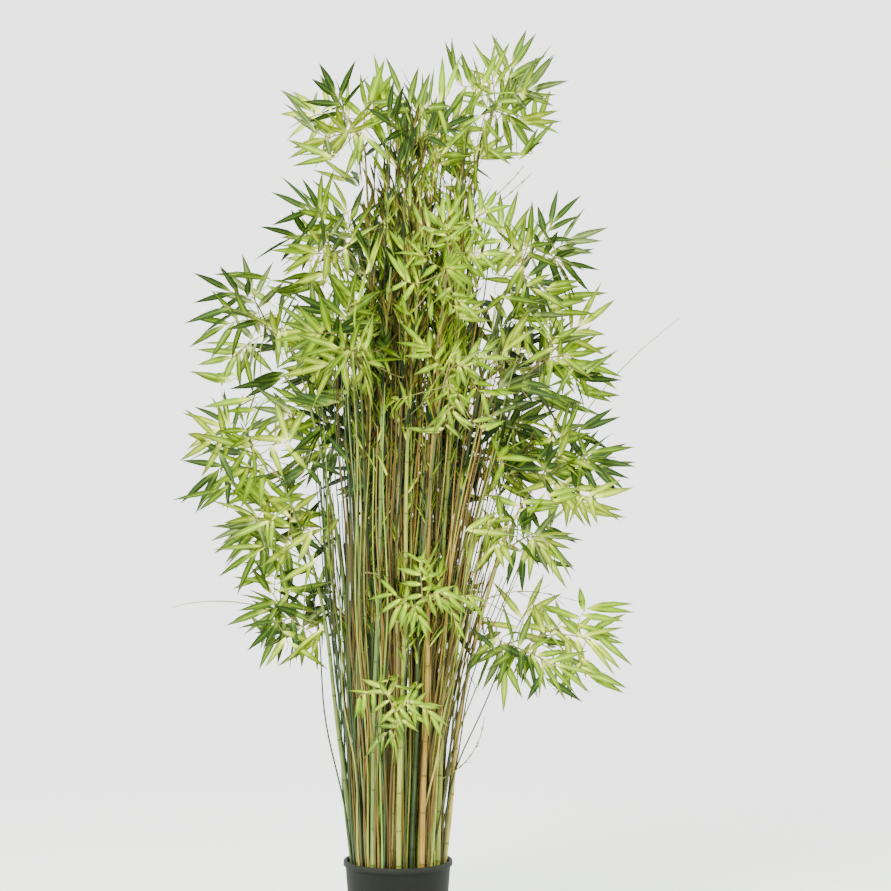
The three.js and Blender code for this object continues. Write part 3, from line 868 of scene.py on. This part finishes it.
def thin_stem(sides, tops, spreads, radii, draw):
    """A slender stem that finds its way up between the canes, or nothing where there is no room."""
    for _ in range(THIN_TRIES):
        radius = THIN_CLUMP * draw() ** THIN_OUTWARD
        foot = on_ring(radius, math.pi * between(sides, draw), FILL_TOP - THIN_SUNK)
        top = between(tops, draw)
        spread = between(spreads, draw)
        phase = math.tau * draw()
        share = np.linspace(0, 1, THIN_POINTS)[:, None]
        right = foot[0] > 0
        across = foot[0] * spread * (THIN_RIGHT if right else 1)
        tip = np.array([across + drift_at(top), foot[1] * (1 + THIN_DEPTH * (spread - 1)), top])
        out = share ** (THIN_CURL if right else 1)
        route = foot + (tip - foot) * np.hstack([out, out, share])
        wave = THIN_SWAY * np.sin(math.pi * share) * np.sin(math.tau * SWAY_TURNS * share + phase)
        route += wave * np.array([1.0, math.cos(phase), 0])
        if clear_of_canes(route, radii[0] + THIN_ROOM):
            return route, radii
    return None


def stem_leaves(route, draw):
    """Short steep leaves along a thin stem."""
    found = []
    height = between(STEM_LEAF_FROM, draw)
    while height < route[-1][2]:
        root = np.array([np.interp(height, route[:, 2], route[:, axis]) for axis in range(3)])
        _, heading, face = steep_blade(UP, RIGHT, draw)
        leaf = (root, heading, face, between(CORE_LENGTHS, draw), CORE_WIDTH)
        points = leaf_points(*leaf)
        if norm(outward(root)) < STEM_LEAF_ROOM and clear_of_canes(points[AT_ROOT:], LEAF_CANE_ROOM):
            found.append(leaf)
        height += STEM_LEAF_STEP * (0.5 + draw())
    return found


draw = random_from(THIN_SEED)
thin_stems = [thin_stem(*kind, draw) for count, *kind in THIN_KINDS for _ in range(count)]
thin_stems = [stem for stem in thin_stems if stem]
on_stems = [leaf for route, _ in thin_stems for leaf in stem_leaves(route, draw)]
print("thin stems:", len(thin_stems), "short leaves on them:", len(on_stems))

# %% [markdown]
# A few odd shoots give the plant its character: knobbed wires that stick out past the leaves, three of them
# with small leaves, and one low on the right from which a spray of full-sized leaves hangs. Each starts at
# the cane nearest to the place named for it.

# %% The odd shoots
# Start, bend and end of each shoot
SHOOTS = (
    ((94, -30, 303), (142, -35, 335), (150, -30, 412)),
    ((139, -20, 612), (210, -30, 640), (284, -30, 617)),
    ((160, -20, 1270), (185, -25, 1320), (218, -30, 1362)),
    ((150, -10, 1262), (182, -10, 1300), (232, -15, 1352)),
    ((-90, -40, 655), (-60, -90, 668), (-30, -100, 660)),
    ((128, -25, 575), (168, -32, 605), (184, -32, 500)),
)
# Small leaves on them: which shoot, how far along it, heading, and length
SHOOT_LEAVES = (
    (1, 0.30, (0.6, -0.1, 0.5), 34),
    (1, 0.42, (0.9, -0.2, -0.3), 40),
    (1, 0.55, (0.9, 0.1, -0.5), 42),
    (1, 0.70, (0.8, -0.2, 0.5), 40),
    (1, 0.85, (0.9, -0.1, -0.6), 38),
    (1, 1.00, (1.0, 0.0, -0.2), 46),
    (0, 0.35, (0.9, -0.1, 0.2), 14),
    (0, 0.60, (0.8, 0.2, 0.5), 12),
    (4, 0.60, (0.9, -0.1, 0.1), 50),
    (4, 1.00, (1.0, -0.2, -0.2), 55),
)
# Odd leaves straight from a cane, low and high on the right: place, heading and length
CANE_LEAVES = (
    ((116, -20, 524), (0.9, -0.1, 0.4), 46),
    ((116, -20, 484), (0.5, -0.1, -0.85), 38),
    ((105, -30, 1270), (0.3, -0.1, 1.0), 62),
    ((105, -30, 1282), (0.6, -0.1, 0.8), 70),
    ((105, -30, 1290), (0.9, -0.1, 0.5), 64),
    ((105, -30, 1300), (1.0, 0.1, 0.1), 58),
)
# Full-sized leaves that hang from the last shoot: how far along it, heading, and length
HANGING_LEAVES = (
    (0.72, (-0.8, -0.1, -0.6), 62),
    (0.80, (0.9, 0.0, -0.5), 68),
    (0.88, (-0.5, -0.1, -1.0), 74),
    (0.95, (0.5, 0.1, -1.0), 78),
    (1.00, (0.0, -0.1, -1.0), 82),
)
# Their faces are turned to the viewer, and those of the small leaves up
TO_FRONT = np.array([0.2, -1.0, 0.1])


def on_nearest_cane(point):
    cane = int(np.argmin(norm(canes_at(point[2]) - point, axis=1)))
    return canes_at(point[2], cane)


def facing(side, root, heading, length, wide):
    """A leaf with its face turned as far to one side as its heading allows."""
    way = unit(np.array(heading))
    return root, way, unit(side - way * np.dot(side, way)), length, wide


shoots = [bezier(on_nearest_cane(start), np.array(bend), np.array(end)) for start, bend, end in SHOOTS]
odd = [facing(UP, shoots[which](share), *leaf, CORE_WIDTH) for which, share, *leaf in SHOOT_LEAVES]
odd += [facing(UP, on_nearest_cane(place), *leaf, CORE_WIDTH) for place, *leaf in CANE_LEAVES]
hanging = [facing(TO_FRONT, shoots[-1](share), *leaf, 1.0) for share, *leaf in HANGING_LEAVES]
print("shoots:", len(shoots), "leaves on them:", len(odd) + len(hanging))

# %% [markdown]
# Every long thin piece here is a tube bent along a route: a cane, a stem, a twig or a bare shoot.
# The tube starts as one cylinder whose long edges are subdivided. Its rings are then moved along the route
# and drawn in to the radius there. A curve with a bevel would do too, but rings can carry a cane's joints.

# %% A tube and how it is bent
def tube_template(sides, rings):
    """A cylinder's vertices as the ring and angle of each, and its faces."""
    bm = bmesh.new()
    bmesh.ops.create_cone(bm, cap_ends=True, segments=sides, radius1=1, radius2=1, depth=1)
    long_edges = [e for e in bm.edges if abs(e.verts[0].co.z - e.verts[1].co.z) > 0.5]
    bmesh.ops.subdivide_edges(bm, edges=long_edges, cuts=rings - 2)
    bmesh.ops.recalc_face_normals(bm, faces=bm.faces)
    points, faces = arrays_of(bm)
    ring = np.round((points[:, 2] + 0.5) * (rings - 1)).astype(int)
    return ring, np.arctan2(points[:, 1], points[:, 0]), faces


def bent_tube(template, middles, radii):
    """The template's vertices moved round a row of middles, in metres, with its faces."""
    ring, angles, faces = template
    along = np.gradient(middles, axis=0)
    along /= norm(along, axis=1)[:, None]
    side = np.array([square_to(a) for a in along])
    other = np.cross(along, side)
    round_it = np.cos(angles)[:, None] * side[ring] + np.sin(angles)[:, None] * other[ring]
    return MM * (middles[ring] + radii[ring][:, None] * round_it), faces


def joined_mesh(name, parts):
    """One mesh from many (vertices, faces) pairs."""
    vertices, faces, first = [], [], 0
    for points, own_faces in parts:
        vertices.append(points)
        faces.extend([[first + i for i in face] for face in own_faces])
        first += len(points)
    mesh = bpy.data.meshes.new(name)
    mesh.from_pydata(np.vstack(vertices), [], faces)
    mesh.update()
    return mesh


def add_piece(mesh, finish, nodes=()):
    """A finished piece: its object at the origin, riding with the plant."""
    piece = show(mesh.name, mesh)
    mesh.materials.append(finish.material)
    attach(piece, "root")
    if nodes:
        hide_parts(*nodes)


def smooth(mesh, sharp_from=1.2):
    mesh.shade_smooth()
    mesh.set_sharp_from_angle(angle=sharp_from)


# %% [markdown]
# The pot is moulded plastic: a thin wall with a little draft, a rounded foot and a rim rolled into a bead.
# A lathe shape is its honest description, so an outline is spun about the axis, and its corners are rounded
# with a bevel while it is still an outline of few points.
# The real surface is matt and nearly black, with fine moulding grain, and its colour turns paler in patches
# towards the top of the bead.

# %% The pot's finish
PALER_TOP_FROM = 0.151
PALER_TOP_GROW = 160
pot_finish = Finish("dark_moulded_plastic", Specular_IOR_Level=0.12)
grain = pot_finish.noise(900, 2)
cloud = pot_finish.noise(22, 4, stretch=(1, 1, 0.4))
dark = pot_finish.mix(cloud, "0b0c08", "13150d")
height = pot_finish.node("ShaderNodeSeparateXYZ", {}, {0: pot_finish.place()}, out=2)
# The colour turns paler in patches towards the top of the bead
paler_top = ((height - PALER_TOP_FROM) * PALER_TOP_GROW).clamped() * pot_finish.noise(120, 4)
pot_finish.feed("Base Color", pot_finish.mix(paler_top * 0.7, dark, "282b26"))
pot_finish.feed("Roughness", 0.5 + 0.18 * grain + 0.1 * cloud)
pot_finish.bump(grain, 0.25, 0.0006)

# %% The pot
POT_STEPS = 96
CORNER_WIDTH = 2.2
CORNER_STEPS = 4
ROUNDED = (1, 3, 4, 5)


def spun_outline(outline, rounded=()):
    """A closed shape spun from an outline of radius and height, with some of its corners rounded first."""
    bm = bmesh.new()
    points = [bm.verts.new((MM * r, 0, MM * z)) for r, z in outline]
    for a, b in zip(points, points[1:]):
        bm.edges.new((a, b))
    bmesh.ops.bevel(
        bm, geom=[points[i] for i in rounded], affect="VERTICES", offset=MM * CORNER_WIDTH,
        segments=CORNER_STEPS, profile=0.5, material=-1,
    )
    bmesh.ops.spin(
        bm, geom=bm.verts[:] + bm.edges[:], axis=(0, 0, 1), cent=(0, 0, 0),
        angle=math.tau, steps=POT_STEPS, use_merge=True,
    )
    bmesh.ops.remove_doubles(bm, verts=bm.verts, dist=1e-6)
    bmesh.ops.recalc_face_normals(bm, faces=bm.faces)
    return bm


def pot_inside(z):
    share = z / POT_HEIGHT
    return POT_FOOT_RADIUS + (POT_RIM_RADIUS - RIM_BEAD_PROUD - POT_FOOT_RADIUS) * share - POT_WALL


neck = POT_RIM_RADIUS - RIM_BEAD_PROUD
bead_foot = POT_HEIGHT - RIM_BEAD_HEIGHT
pot_outline = [
    (0, 0), (POT_FOOT_RADIUS, 0), (neck, bead_foot), (POT_RIM_RADIUS, bead_foot),
    (POT_RIM_RADIUS, POT_HEIGHT), (neck - POT_WALL, POT_HEIGHT),
    (pot_inside(POT_FLOOR), POT_FLOOR), (0, POT_FLOOR),
]
pot_mesh = mesh_of(spun_outline(pot_outline, ROUNDED), "pot_shell")
smooth(pot_mesh, 0.6)
add_piece(pot_mesh, pot_finish, ["pot"])
print("pot faces:", len(pot_mesh.polygons))

# %% [markdown]
# The canes are cast into a block that fills the pot to just below its rim, topped with dark crumbly stuff.
# A bump alone would look painted on from close by, so the top is spun from many rings and its points are
# lifted by noise, and small chips lie on it.

# %% The filling
FILL_RINGS = 22
FILL_SUNK = 1.5
FILL_LIFT = 2.6
CRUMBS_TO_METRE = 60
HUMPS_TO_METRE = 25
HUMP_SHARE = 0.6
AT_EDGE = 1e-4
soil_finish = Finish("dark_crumbly_filling", Roughness=0.95, Specular_IOR_Level=0.2)
crumbs = soil_finish.noise(260, 5, 0.65)
patches = soil_finish.noise(45)
brown = soil_finish.ramp(crumbs, (0.3, "120e0a"), (0.5, "2a2118"), (0.7, "4a3c2b"))
soil_finish.feed("Base Color", soil_finish.mix(patches * 0.5, brown, "1c1d13"))
soil_finish.bump(crumbs, 0.8, 0.002)

top_radius = pot_inside(FILL_TOP) - GAP
fill_foot = POT_FLOOR + GAP
fill_outline = [(0, fill_foot), (pot_inside(fill_foot) - GAP, fill_foot)]
fill_outline += [(top_radius * (1 - i / FILL_RINGS), FILL_TOP - FILL_SUNK) for i in range(FILL_RINGS + 1)]
bm = spun_outline(fill_outline)
for vert in bm.verts:
    from_edge = top_radius * MM - math.hypot(vert.co.x, vert.co.y)
    if vert.co.z > MM * (FILL_TOP - FILL_LIFT) and from_edge > AT_EDGE:
        rise = noise.fractal(vert.co * CRUMBS_TO_METRE, 1.0, 2.0, 4)
        vert.co.z += MM * FILL_LIFT * (rise + HUMP_SHARE * noise.noise(vert.co * HUMPS_TO_METRE))
fill_mesh = mesh_of(bm, "filling_top")
smooth(fill_mesh)
add_piece(fill_mesh, soil_finish, ["pot_filling"])
print("filling faces:", len(fill_mesh.polygons))

# %% Chips on the filling
CHIPS = 420
CHIP_SEED = 900
CHIP_MARGIN = 5
CHIP_SUNK = 0.5
CHIP_LIFT = 1.2
CHIP_TILT = 0.3
# The least half length, width and thickness of a chip, and how much more each may be
CHIP_SIZES = ((2.2, 2.6), (1.2, 1.4), (0.8, 0.8))
bm = bmesh.new()
bmesh.ops.create_icosphere(bm, subdivisions=1, radius=1)
chip_points, chip_faces = arrays_of(bm)
draw = random_from(CHIP_SEED)
chips = []
for _ in range(CHIPS):
    radius = (top_radius - CHIP_MARGIN) * math.sqrt(draw())
    middle = on_ring(radius, math.tau * draw(), FILL_TOP - CHIP_SUNK + CHIP_LIFT * draw())
    size = np.array([least + more * draw() for least, more in CHIP_SIZES])
    spin = unit(np.array([CHIP_TILT * either(draw), CHIP_TILT * either(draw), 1.0]))
    turn = math.tau * draw()
    chips.append((MM * (middle + np.array([turned(p, spin, turn) for p in chip_points * size])), chip_faces))
chip_finish = Finish("bark_chips", Roughness=0.9, Specular_IOR_Level=0.2)
chip_tone = chip_finish.ramp(chip_finish.noise(70, 2), (0.35, "1d1610"), (0.5, "3b2d1f"), (0.65, "5d4a34"))
chip_finish.feed("Base Color", chip_tone)
chip_finish.bump(chip_finish.noise(500), 0.5, 0.001)
add_piece(joined_mesh("filling_chips", chips), chip_finish)
print("chips:", len(chips))

# %% [markdown]
# The canes are thin moulded stems with a joint every hand's breadth: a low ridge with a groove over it.
# They are painted unevenly. Dark and grey greens stand on the left, olive, cream, tan and brown in the middle
# and on the right, and dark ones again at the right edge, a little mixed. All are greener towards the top and
# darker at the joints.
# Each ring of a cane's tube sits at a chosen height, so a joint takes five rings close together, and a number
# stored on each vertex tells the paint where the joints are.

# %% The canes' finishes
CANE_TONES = {
    "dark_green": ("1c2a14", "3e502c", "10160a"),
    "grey_green": ("3c5020", "86984e", "20280d"),
    "leaf_green": ("4e6a1e", "9ab84a", "263210"),
    "umber": ("3c2c10", "70602a", "181006"),
    "olive": ("5a621c", "a4ac48", "262a0a"),
    "brown": ("6e4e1a", "a8883a", "281c06"),
    "tan": ("86742e", "ccbc62", "3a2e10"),
    "cream": ("aca44a", "eeec9c", "4c4218"),
}
HIGH_TONE = "7c8238"


def cane_finish(name):
    """Painted plastic with streaks along the cane and dark joints."""
    body, pale_tone, joint = CANE_TONES[name]
    made = Finish("cane_" + name, Specular_IOR_Level=0.22)
    streaks = made.noise(420, stretch=(1, 1, 0.06))
    blotches = made.noise(38, stretch=(1, 1, 0.3))
    at_joint = made.node("ShaderNodeAttribute", {"attribute_name": "joint"}, out=2)
    climb = made.node("ShaderNodeAttribute", {"attribute_name": "climb"}, out=2)
    base = made.mix((streaks * 1.5 - 0.3).clamped(), body, pale_tone)
    base = made.mix((blotches * 2.4 - 1.0).clamped() * 0.5, base, joint)
    base = made.mix(climb * climb * 0.3, base, HIGH_TONE)
    made.feed("Base Color", made.mix((at_joint * 0.85).clamped(), base, joint))
    made.feed("Roughness", 0.42 + 0.25 * blotches)
    made.bump(streaks, 0.15, 0.0004)
    return made


cane_finishes = {name: cane_finish(name) for name in CANE_TONES}
print("cane finishes:", len(cane_finishes))

# %% The canes
CANE_SIDES = 10
CANE_SUNK = 5
# The rings of a joint: how far from its groove, how much of a swelling, and how dark
JOINT_PROFILE = ((-3.2, 0.0, 0.0), (-1.2, 0.45, 0.35), (0.0, 0.12, 1.0), (1.2, 0.5, 0.55), (3.2, 0.0, 0.1))
JOINT_SWELL = 1.1
SWELL_LOSS = 0.5
JOINT_ROOM = 12
PLAIN_STEP = 24
# A cane's map is this many turns wide, which leaves room for the faces at its seam
MAP_WIDTH = 1.2
TONE_SEED = 710
TONE_SCATTER = 0.7
# The paint from the clump's left to its right, of the canes and of the thin stems
TONE_ORDER = (
    "dark_green grey_green umber grey_green brown leaf_green olive cream tan brown umber olive dark_green"
).split()
THIN_ORDER = (
    "dark_green umber grey_green dark_green umber olive brown leaf_green olive umber tan dark_green umber"
).split()


def cane_rings(k, length):
    """Heights along a cane with the joint's swelling and mark at each."""
    joints = [joint + CANE_SUNK for joint in joint_heights(k)]
    rings = [(0.0, 0.0, 0.0), (length, 0.0, 0.0)]
    for joint in joints:
        rings += [(joint + away, swell, mark) for away, swell, mark in JOINT_PROFILE]
    for a, b in zip([0.0] + joints, joints + [length]):
        count = int((b - a - JOINT_ROOM) / PLAIN_STEP)
        rings += [(a + (b - a) * (i + 1) / (count + 1), 0.0, 0.0) for i in range(count)]
    return np.array(sorted(rings))


def cane_tone(right, order, draw):
    """The paint of a cane or stem, by how far right of the middle its foot stands."""
    place = (right / CLUMP_RADIUS + TONE_SCATTER * either(draw) + 1) / 2
    return order[int(min(0.999, max(0, place)) * len(order))]


def wrap_map(mesh, name, across, along):
    """A map of a tube: once round in one direction, its length in the other."""
    layer = mesh.uv_layers.new(name=name)
    for face in mesh.polygons:
        turns = [across[mesh.loops[i].vertex_index] for i in face.loop_indices]
        seam = max(turns) - min(turns) > 0.5
        for i, turn in zip(face.loop_indices, turns):
            u = turn + 1 if seam and turn < 0.5 else turn
            layer.data[i].uv = (u / MAP_WIDTH, along[mesh.loops[i].vertex_index])


draw = random_from(TONE_SEED)
tones = []
for k in range(len(FEET)):
    length = TIPS[k][2] - CANE_FOOT + CANE_SUNK
    heights, swells, marks = cane_rings(k, length).T
    shares = (heights - CANE_SUNK) / (length - CANE_SUNK)
    climbs = np.clip(shares, 0, 1)
    middles = on_canes(shares, k)
    middles[shares < 0, 2] = CANE_FOOT - CANE_SUNK
    radii = cane_radius(climbs) + swells * (JOINT_SWELL - SWELL_LOSS * shares)
    template = tube_template(CANE_SIDES, len(heights))
    mesh = joined_mesh(f"bamboo_cane_{k + 1:02d}", [bent_tube(template, middles, radii)])
    for label, values in (("joint", marks), ("climb", climbs)):
        attribute = mesh.attributes.new(label, "FLOAT", "POINT")
        attribute.data.foreach_set("value", values[template[0]].astype(np.float32))
    wrap_map(mesh, "OFBake", template[1] / math.tau + 0.5, climbs[template[0]])
    smooth(mesh, 0.9)
    tones.append(cane_tone(FEET[k][0], TONE_ORDER, draw))
    add_piece(mesh, cane_finishes[tones[-1]], [f"cane_{k + 1:02d}"])
print("canes:", len(tones), {tone: tones.count(tone) for tone in CANE_TONES})

# %% The thin stems
THIN_SIDES = 6
template = tube_template(THIN_SIDES, THIN_POINTS)
by_tone = {}
for route, radii in thin_stems:
    tube = bent_tube(template, route, np.linspace(*radii, THIN_POINTS))
    by_tone.setdefault(cane_tone(route[0][0], THIN_ORDER, draw), []).append(tube)
for tone, tubes in by_tone.items():
    mesh = joined_mesh("thin_stems_" + tone, tubes)
    smooth(mesh)
    add_piece(mesh, cane_finishes[tone])
print("thin stems by tone:", {tone: len(tubes) for tone, tubes in by_tone.items()})

# %% [markdown]
# The twigs are wire in a thin brown-green sleeve. They taper a little and bow slightly under their leaves.
# There are hundreds, so they are one joined mesh of five-sided and six-sided tubes, made from arrays.

# %% The twigs' finish
twig_finish = Finish("twig_sleeve", Specular_IOR_Level=0.3, Roughness=0.65)
sleeve = twig_finish.ramp(twig_finish.noise(60), (0.3, "4d5226"), (0.5, "6f6b35"), (0.7, "8d7f4a"))
twig_finish.feed("Base Color", sleeve)
twig_finish.bump(twig_finish.noise(700, 2), 0.3, 0.0004)

# %% The twigs
STEM_RADII = (2.0, 1.3)
COARSE_RADII = (1.3, 0.9)
FINE_RADII = (0.9, 0.6)
WHIP_RADII = (1.3, 0.5)
SHOOT_RADII = (1.1, 0.6)
# The sides and rings of each kind of tube
TWIG_SIZE = (5, 6)
LONG_SIZE = (6, 10)
SHOOT_SIZE = (6, 28)
KNOB = 0.9
KNOB_FIRST = 3
KNOB_EVERY = 5


def tube_along(template, route, radii, knob=0.0):
    """A tube along a route, with a knob on some of its rings."""
    rings = np.arange(template[0].max() + 1)
    shares = rings / rings[-1]
    swelling = knob * (rings % KNOB_EVERY == KNOB_FIRST)
    return bent_tube(template, route(shares), radii[0] + (radii[1] - radii[0]) * shares + swelling)


short_tube, long_tube, knobbed_tube = (tube_template(*size) for size in (TWIG_SIZE, LONG_SIZE, SHOOT_SIZE))
tubes = []
for name, grown in crown.items():
    tubes.append(tube_along(long_tube, grown["stem"], STEM_RADII))
    tubes += [tube_along(short_tube, route, COARSE_RADII) for route in grown["coarse"]]
    tubes += [tube_along(short_tube, route, FINE_RADII) for route in grown["fine"]]
    if name in WHIPS:
        bend, end = np.array(WHIPS[name], float)
        tubes.append(tube_along(long_tube, bezier(grown["stem"](WHIP_ROOT), bend, end), WHIP_RADII))
tubes += [tube_along(knobbed_tube, shoot, SHOOT_RADII, KNOB) for shoot in shoots]
twig_mesh = joined_mesh("twigs", tubes)
smooth(twig_mesh)
foliage_nodes = ["foliage_" + name for name in MASSES]
add_piece(twig_mesh, twig_finish, foliage_nodes)
print("twig tubes:", len(tubes), "faces:", len(twig_mesh.polygons))

# %% [markdown]
# A leaf is a stamped strip of printed cloth: long, narrow, folded a little along its rib, drooping at its
# tip. One leaf is shaped with bmesh from a ring of four points that is extruded along it, so it is closed and
# has only a few faces. Each real leaf is then that one, stretched, bent and placed by arrays.

# %% One leaf
# Its half width at places along it
LEAF_OUTLINE = ((0.0, 0.1), (0.12, 0.6), (0.3, 1.0), (0.55, 0.92), (0.8, 0.46), (1.0, 0.02))
LEAF_FOLD = 0.22
LEAF_THICK = 0.3


def leaf_template():
    """A flat closed leaf of length 1 and half width 1, thick along its rib."""
    bm = bmesh.new()
    ring = bmesh.ops.create_circle(bm, segments=4, radius=1)["verts"]
    for vert in ring:
        vert.co = Vector((0, round(vert.co.x), round(vert.co.y)))
    edges = bm.edges[:]
    for (a, _), (b, _) in zip(LEAF_OUTLINE, LEAF_OUTLINE[1:]):
        grown = bmesh.ops.extrude_edge_only(bm, edges=edges)["geom"]
        edges = [g for g in grown if isinstance(g, bmesh.types.BMEdge) and g.is_boundary]
        moved = {v for e in edges for v in e.verts}
        bmesh.ops.translate(bm, verts=list(moved), vec=(b - a, 0, 0))
    bmesh.ops.holes_fill(bm, edges=[e for e in bm.edges if e.is_boundary], sides=4)
    bmesh.ops.recalc_face_normals(bm, faces=bm.faces)
    widths = dict((round(place, 4), width) for place, width in LEAF_OUTLINE)
    for vert in bm.verts:
        vert.co.y *= widths[round(vert.co.x, 4)]
        vert.co.z *= math.sqrt(widths[round(vert.co.x, 4)])
    return arrays_of(bm)


LEAF_POINTS, LEAF_FACES = leaf_template()
print("one leaf:", len(LEAF_POINTS), "points,", len(LEAF_FACES), "faces")

# %% [markdown]
# The print runs from a pale yellow-green root to a dark tip, with a light rib, fine veins beside it and a
# dark edge. It follows the leaf, so it reads the leaf's own map and not the plant's coordinates.
# All leaves of one tone share one map, because they share one print. The tones differ partly as batches of
# cloth do
# and partly as painted light and shade: sprays in front are dealt brighter tones as painted light, and sprays
# on the inner sides of the shaded and back masses, and some outer sprays, darker ones as painted shade. They
# are dealt out spray by spray.

# %% The leaves' finishes
LEAF_TONES = {
    "vivid": ("c4d41c", "7c9c04", "3e5a06"),
    "bright": ("e8f46c", "98ae16", "384c0c"),
    "fresh": ("d2e054", "7a9812", "2c3e0a"),
    "green": ("b0c244", "547212", "202f0a"),
    "grey": ("b8c276", "586a2c", "263218"),
    "deep": ("6e862c", "2d460f", "16260b"),
    "dusky": ("3a501c", "182a0d", "0d1707"),
    "olive": ("ac9a40", "5f581c", "2a260b"),
    "umber": ("80682e", "403014", "1b1206"),
}
VEINS = 150


def leaf_finish(name):
    """Printed cloth: a shaded length, a pale rib, veins and a dark edge."""
    root_tone, body, tip_tone = LEAF_TONES[name]
    made = Finish("leaf_" + name, Specular_IOR_Level=0.15)
    print_map = made.node("ShaderNodeUVMap", {"uv_map": "leaf_print"})
    along, across = (made.node("ShaderNodeSeparateXYZ", {}, {0: print_map}, out=axis) for axis in (0, 1))
    from_rib = abs(across - 0.5) * 2
    base = made.ramp(along, (0.04, root_tone), (0.26, body), (0.52, body), (0.84, tip_tone))
    veins = (across * VEINS).sine() * 0.5 + 0.5
    base = made.mix(veins * 0.16, base, tip_tone)
    base = made.mix((from_rib * from_rib * 0.95).clamped(), base, tip_tone)
    rib = (1 - from_rib * 6).clamped() * (1 - along * 0.7)
    made.feed("Base Color", made.mix(rib * 0.7, base, root_tone))
    made.feed("Roughness", 0.55 + 0.1 * veins)
    made.bump(veins + rib * 2, 0.25, 0.0003)
    return made


leaf_finishes = {name: leaf_finish(name) for name in LEAF_TONES}
print("leaf finishes:", len(leaf_finishes))

# %% Deal the tones
DEAL_SEED = 500
BEND_RANGE = (0.02, 0.14)
# The share of each tone in the sprays of one kind of place. The brighter tones in front are painted light;
# the dark tones in the shade, and the deep tone among the outer sprays, are painted shade
DEALS = {
    "front": {"vivid": 0.66, "bright": 0.08, "fresh": 0.14, "green": 0.12},
    "outer": {"vivid": 0.08, "bright": 0.2, "fresh": 0.24, "grey": 0.1, "green": 0.2, "deep": 0.18},
    "shade": {"fresh": 0.1, "green": 0.15, "grey": 0.1, "deep": 0.3, "dusky": 0.35},
    "core": {"olive": 0.26, "umber": 0.12, "dusky": 0.1, "green": 0.14, "fresh": 0.2, "bright": 0.18},
    "sunny": {"vivid": 0.48, "bright": 0.18, "fresh": 0.14, "olive": 0.2},
    "odd": {"dusky": 0.6, "deep": 0.4},
}
# The core's leaves are dealt brighter tones above and right of these, as painted light
SUNNY_FROM = 55
SUNNY_ABOVE = 930
# The sprays on the inner sides of these masses are dealt darker tones, as painted shade
SHADE_MASSES = "shaded_left shaded_right low_back upper_back middle_back_left middle_back_right".split()


def spray_place(name, spray):
    """The kind of place of a spray: in front, in the shade on a mass's inner side, or outside."""
    if name in SHORT_LEAVED:
        return "front"
    middle = MASSES[name].middle
    inward = spray and np.dot((spray[0][0] - middle)[:2], outward(middle)) < 0
    return "shade" if inward and name in SHADE_MASSES else "outer"


def core_place(leaf):
    return "sunny" if leaf[0][0] > SUNNY_FROM and leaf[0][2] > SUNNY_ABOVE else "core"


def leaf_vertices(root, heading, face, length, wide, bend):
    across = unit(np.cross(face, heading))
    normal = np.cross(heading, across)
    x, y, z = LEAF_POINTS.T
    half = wide * LEAF_WIDTH / 2
    lift = LEAF_FOLD * half * np.abs(y) + LEAF_THICK / 2 * z * (np.abs(y) < 0.01) - bend * length * x**2
    return MM * (root + np.outer(x * length, heading) + np.outer(y * half, across) + np.outer(lift, normal))


def deal(place, leaves, draw):
    """Give some leaves one tone for their place, brighter or darker where that paints light or shade, and a
    bend each.
    """
    ticket = draw()
    for tone, share in DEALS[place].items():
        ticket -= share
        if ticket < 0:
            break
    for root, heading, face, length, wide in leaves:
        upper = face if np.cross(heading, np.cross(face, heading))[2] > 0 else -face
        dealt[tone].append(leaf_vertices(root, heading, upper, length, wide, between(BEND_RANGE, draw)))


draw = random_from(DEAL_SEED)
dealt = {tone: [] for tone in LEAF_TONES}
for name, grown in crown.items():
    for spray in grown["sprays"]:
        deal(spray_place(name, spray), spray, draw)
for leaf in on_stems + short_leaves:
    deal(core_place(leaf), [leaf], draw)
for leaf in odd:
    deal("odd", [leaf], draw)
for leaf in hanging:
    deal("outer", [leaf], draw)

# %% The leaves
spots = np.stack([LEAF_POINTS[:, 0], (LEAF_POINTS[:, 1] + 1) / 2], axis=1).astype(np.float32)
for tone, leaves in dealt.items():
    mesh = joined_mesh("leaves_" + tone, [(points, LEAF_FACES) for points in leaves])
    corners = np.zeros(len(mesh.loops), int)
    mesh.loops.foreach_get("vertex_index", corners)
    for label in ("leaf_print", "OFBake"):
        layer = mesh.uv_layers.new(name=label)
        layer.data.foreach_set("uv", spots[corners % len(LEAF_POINTS)].ravel())
    add_piece(mesh, leaf_finishes[tone], foliage_nodes)
print("leaves by tone:", {tone: len(leaves) for tone, leaves in dealt.items()})
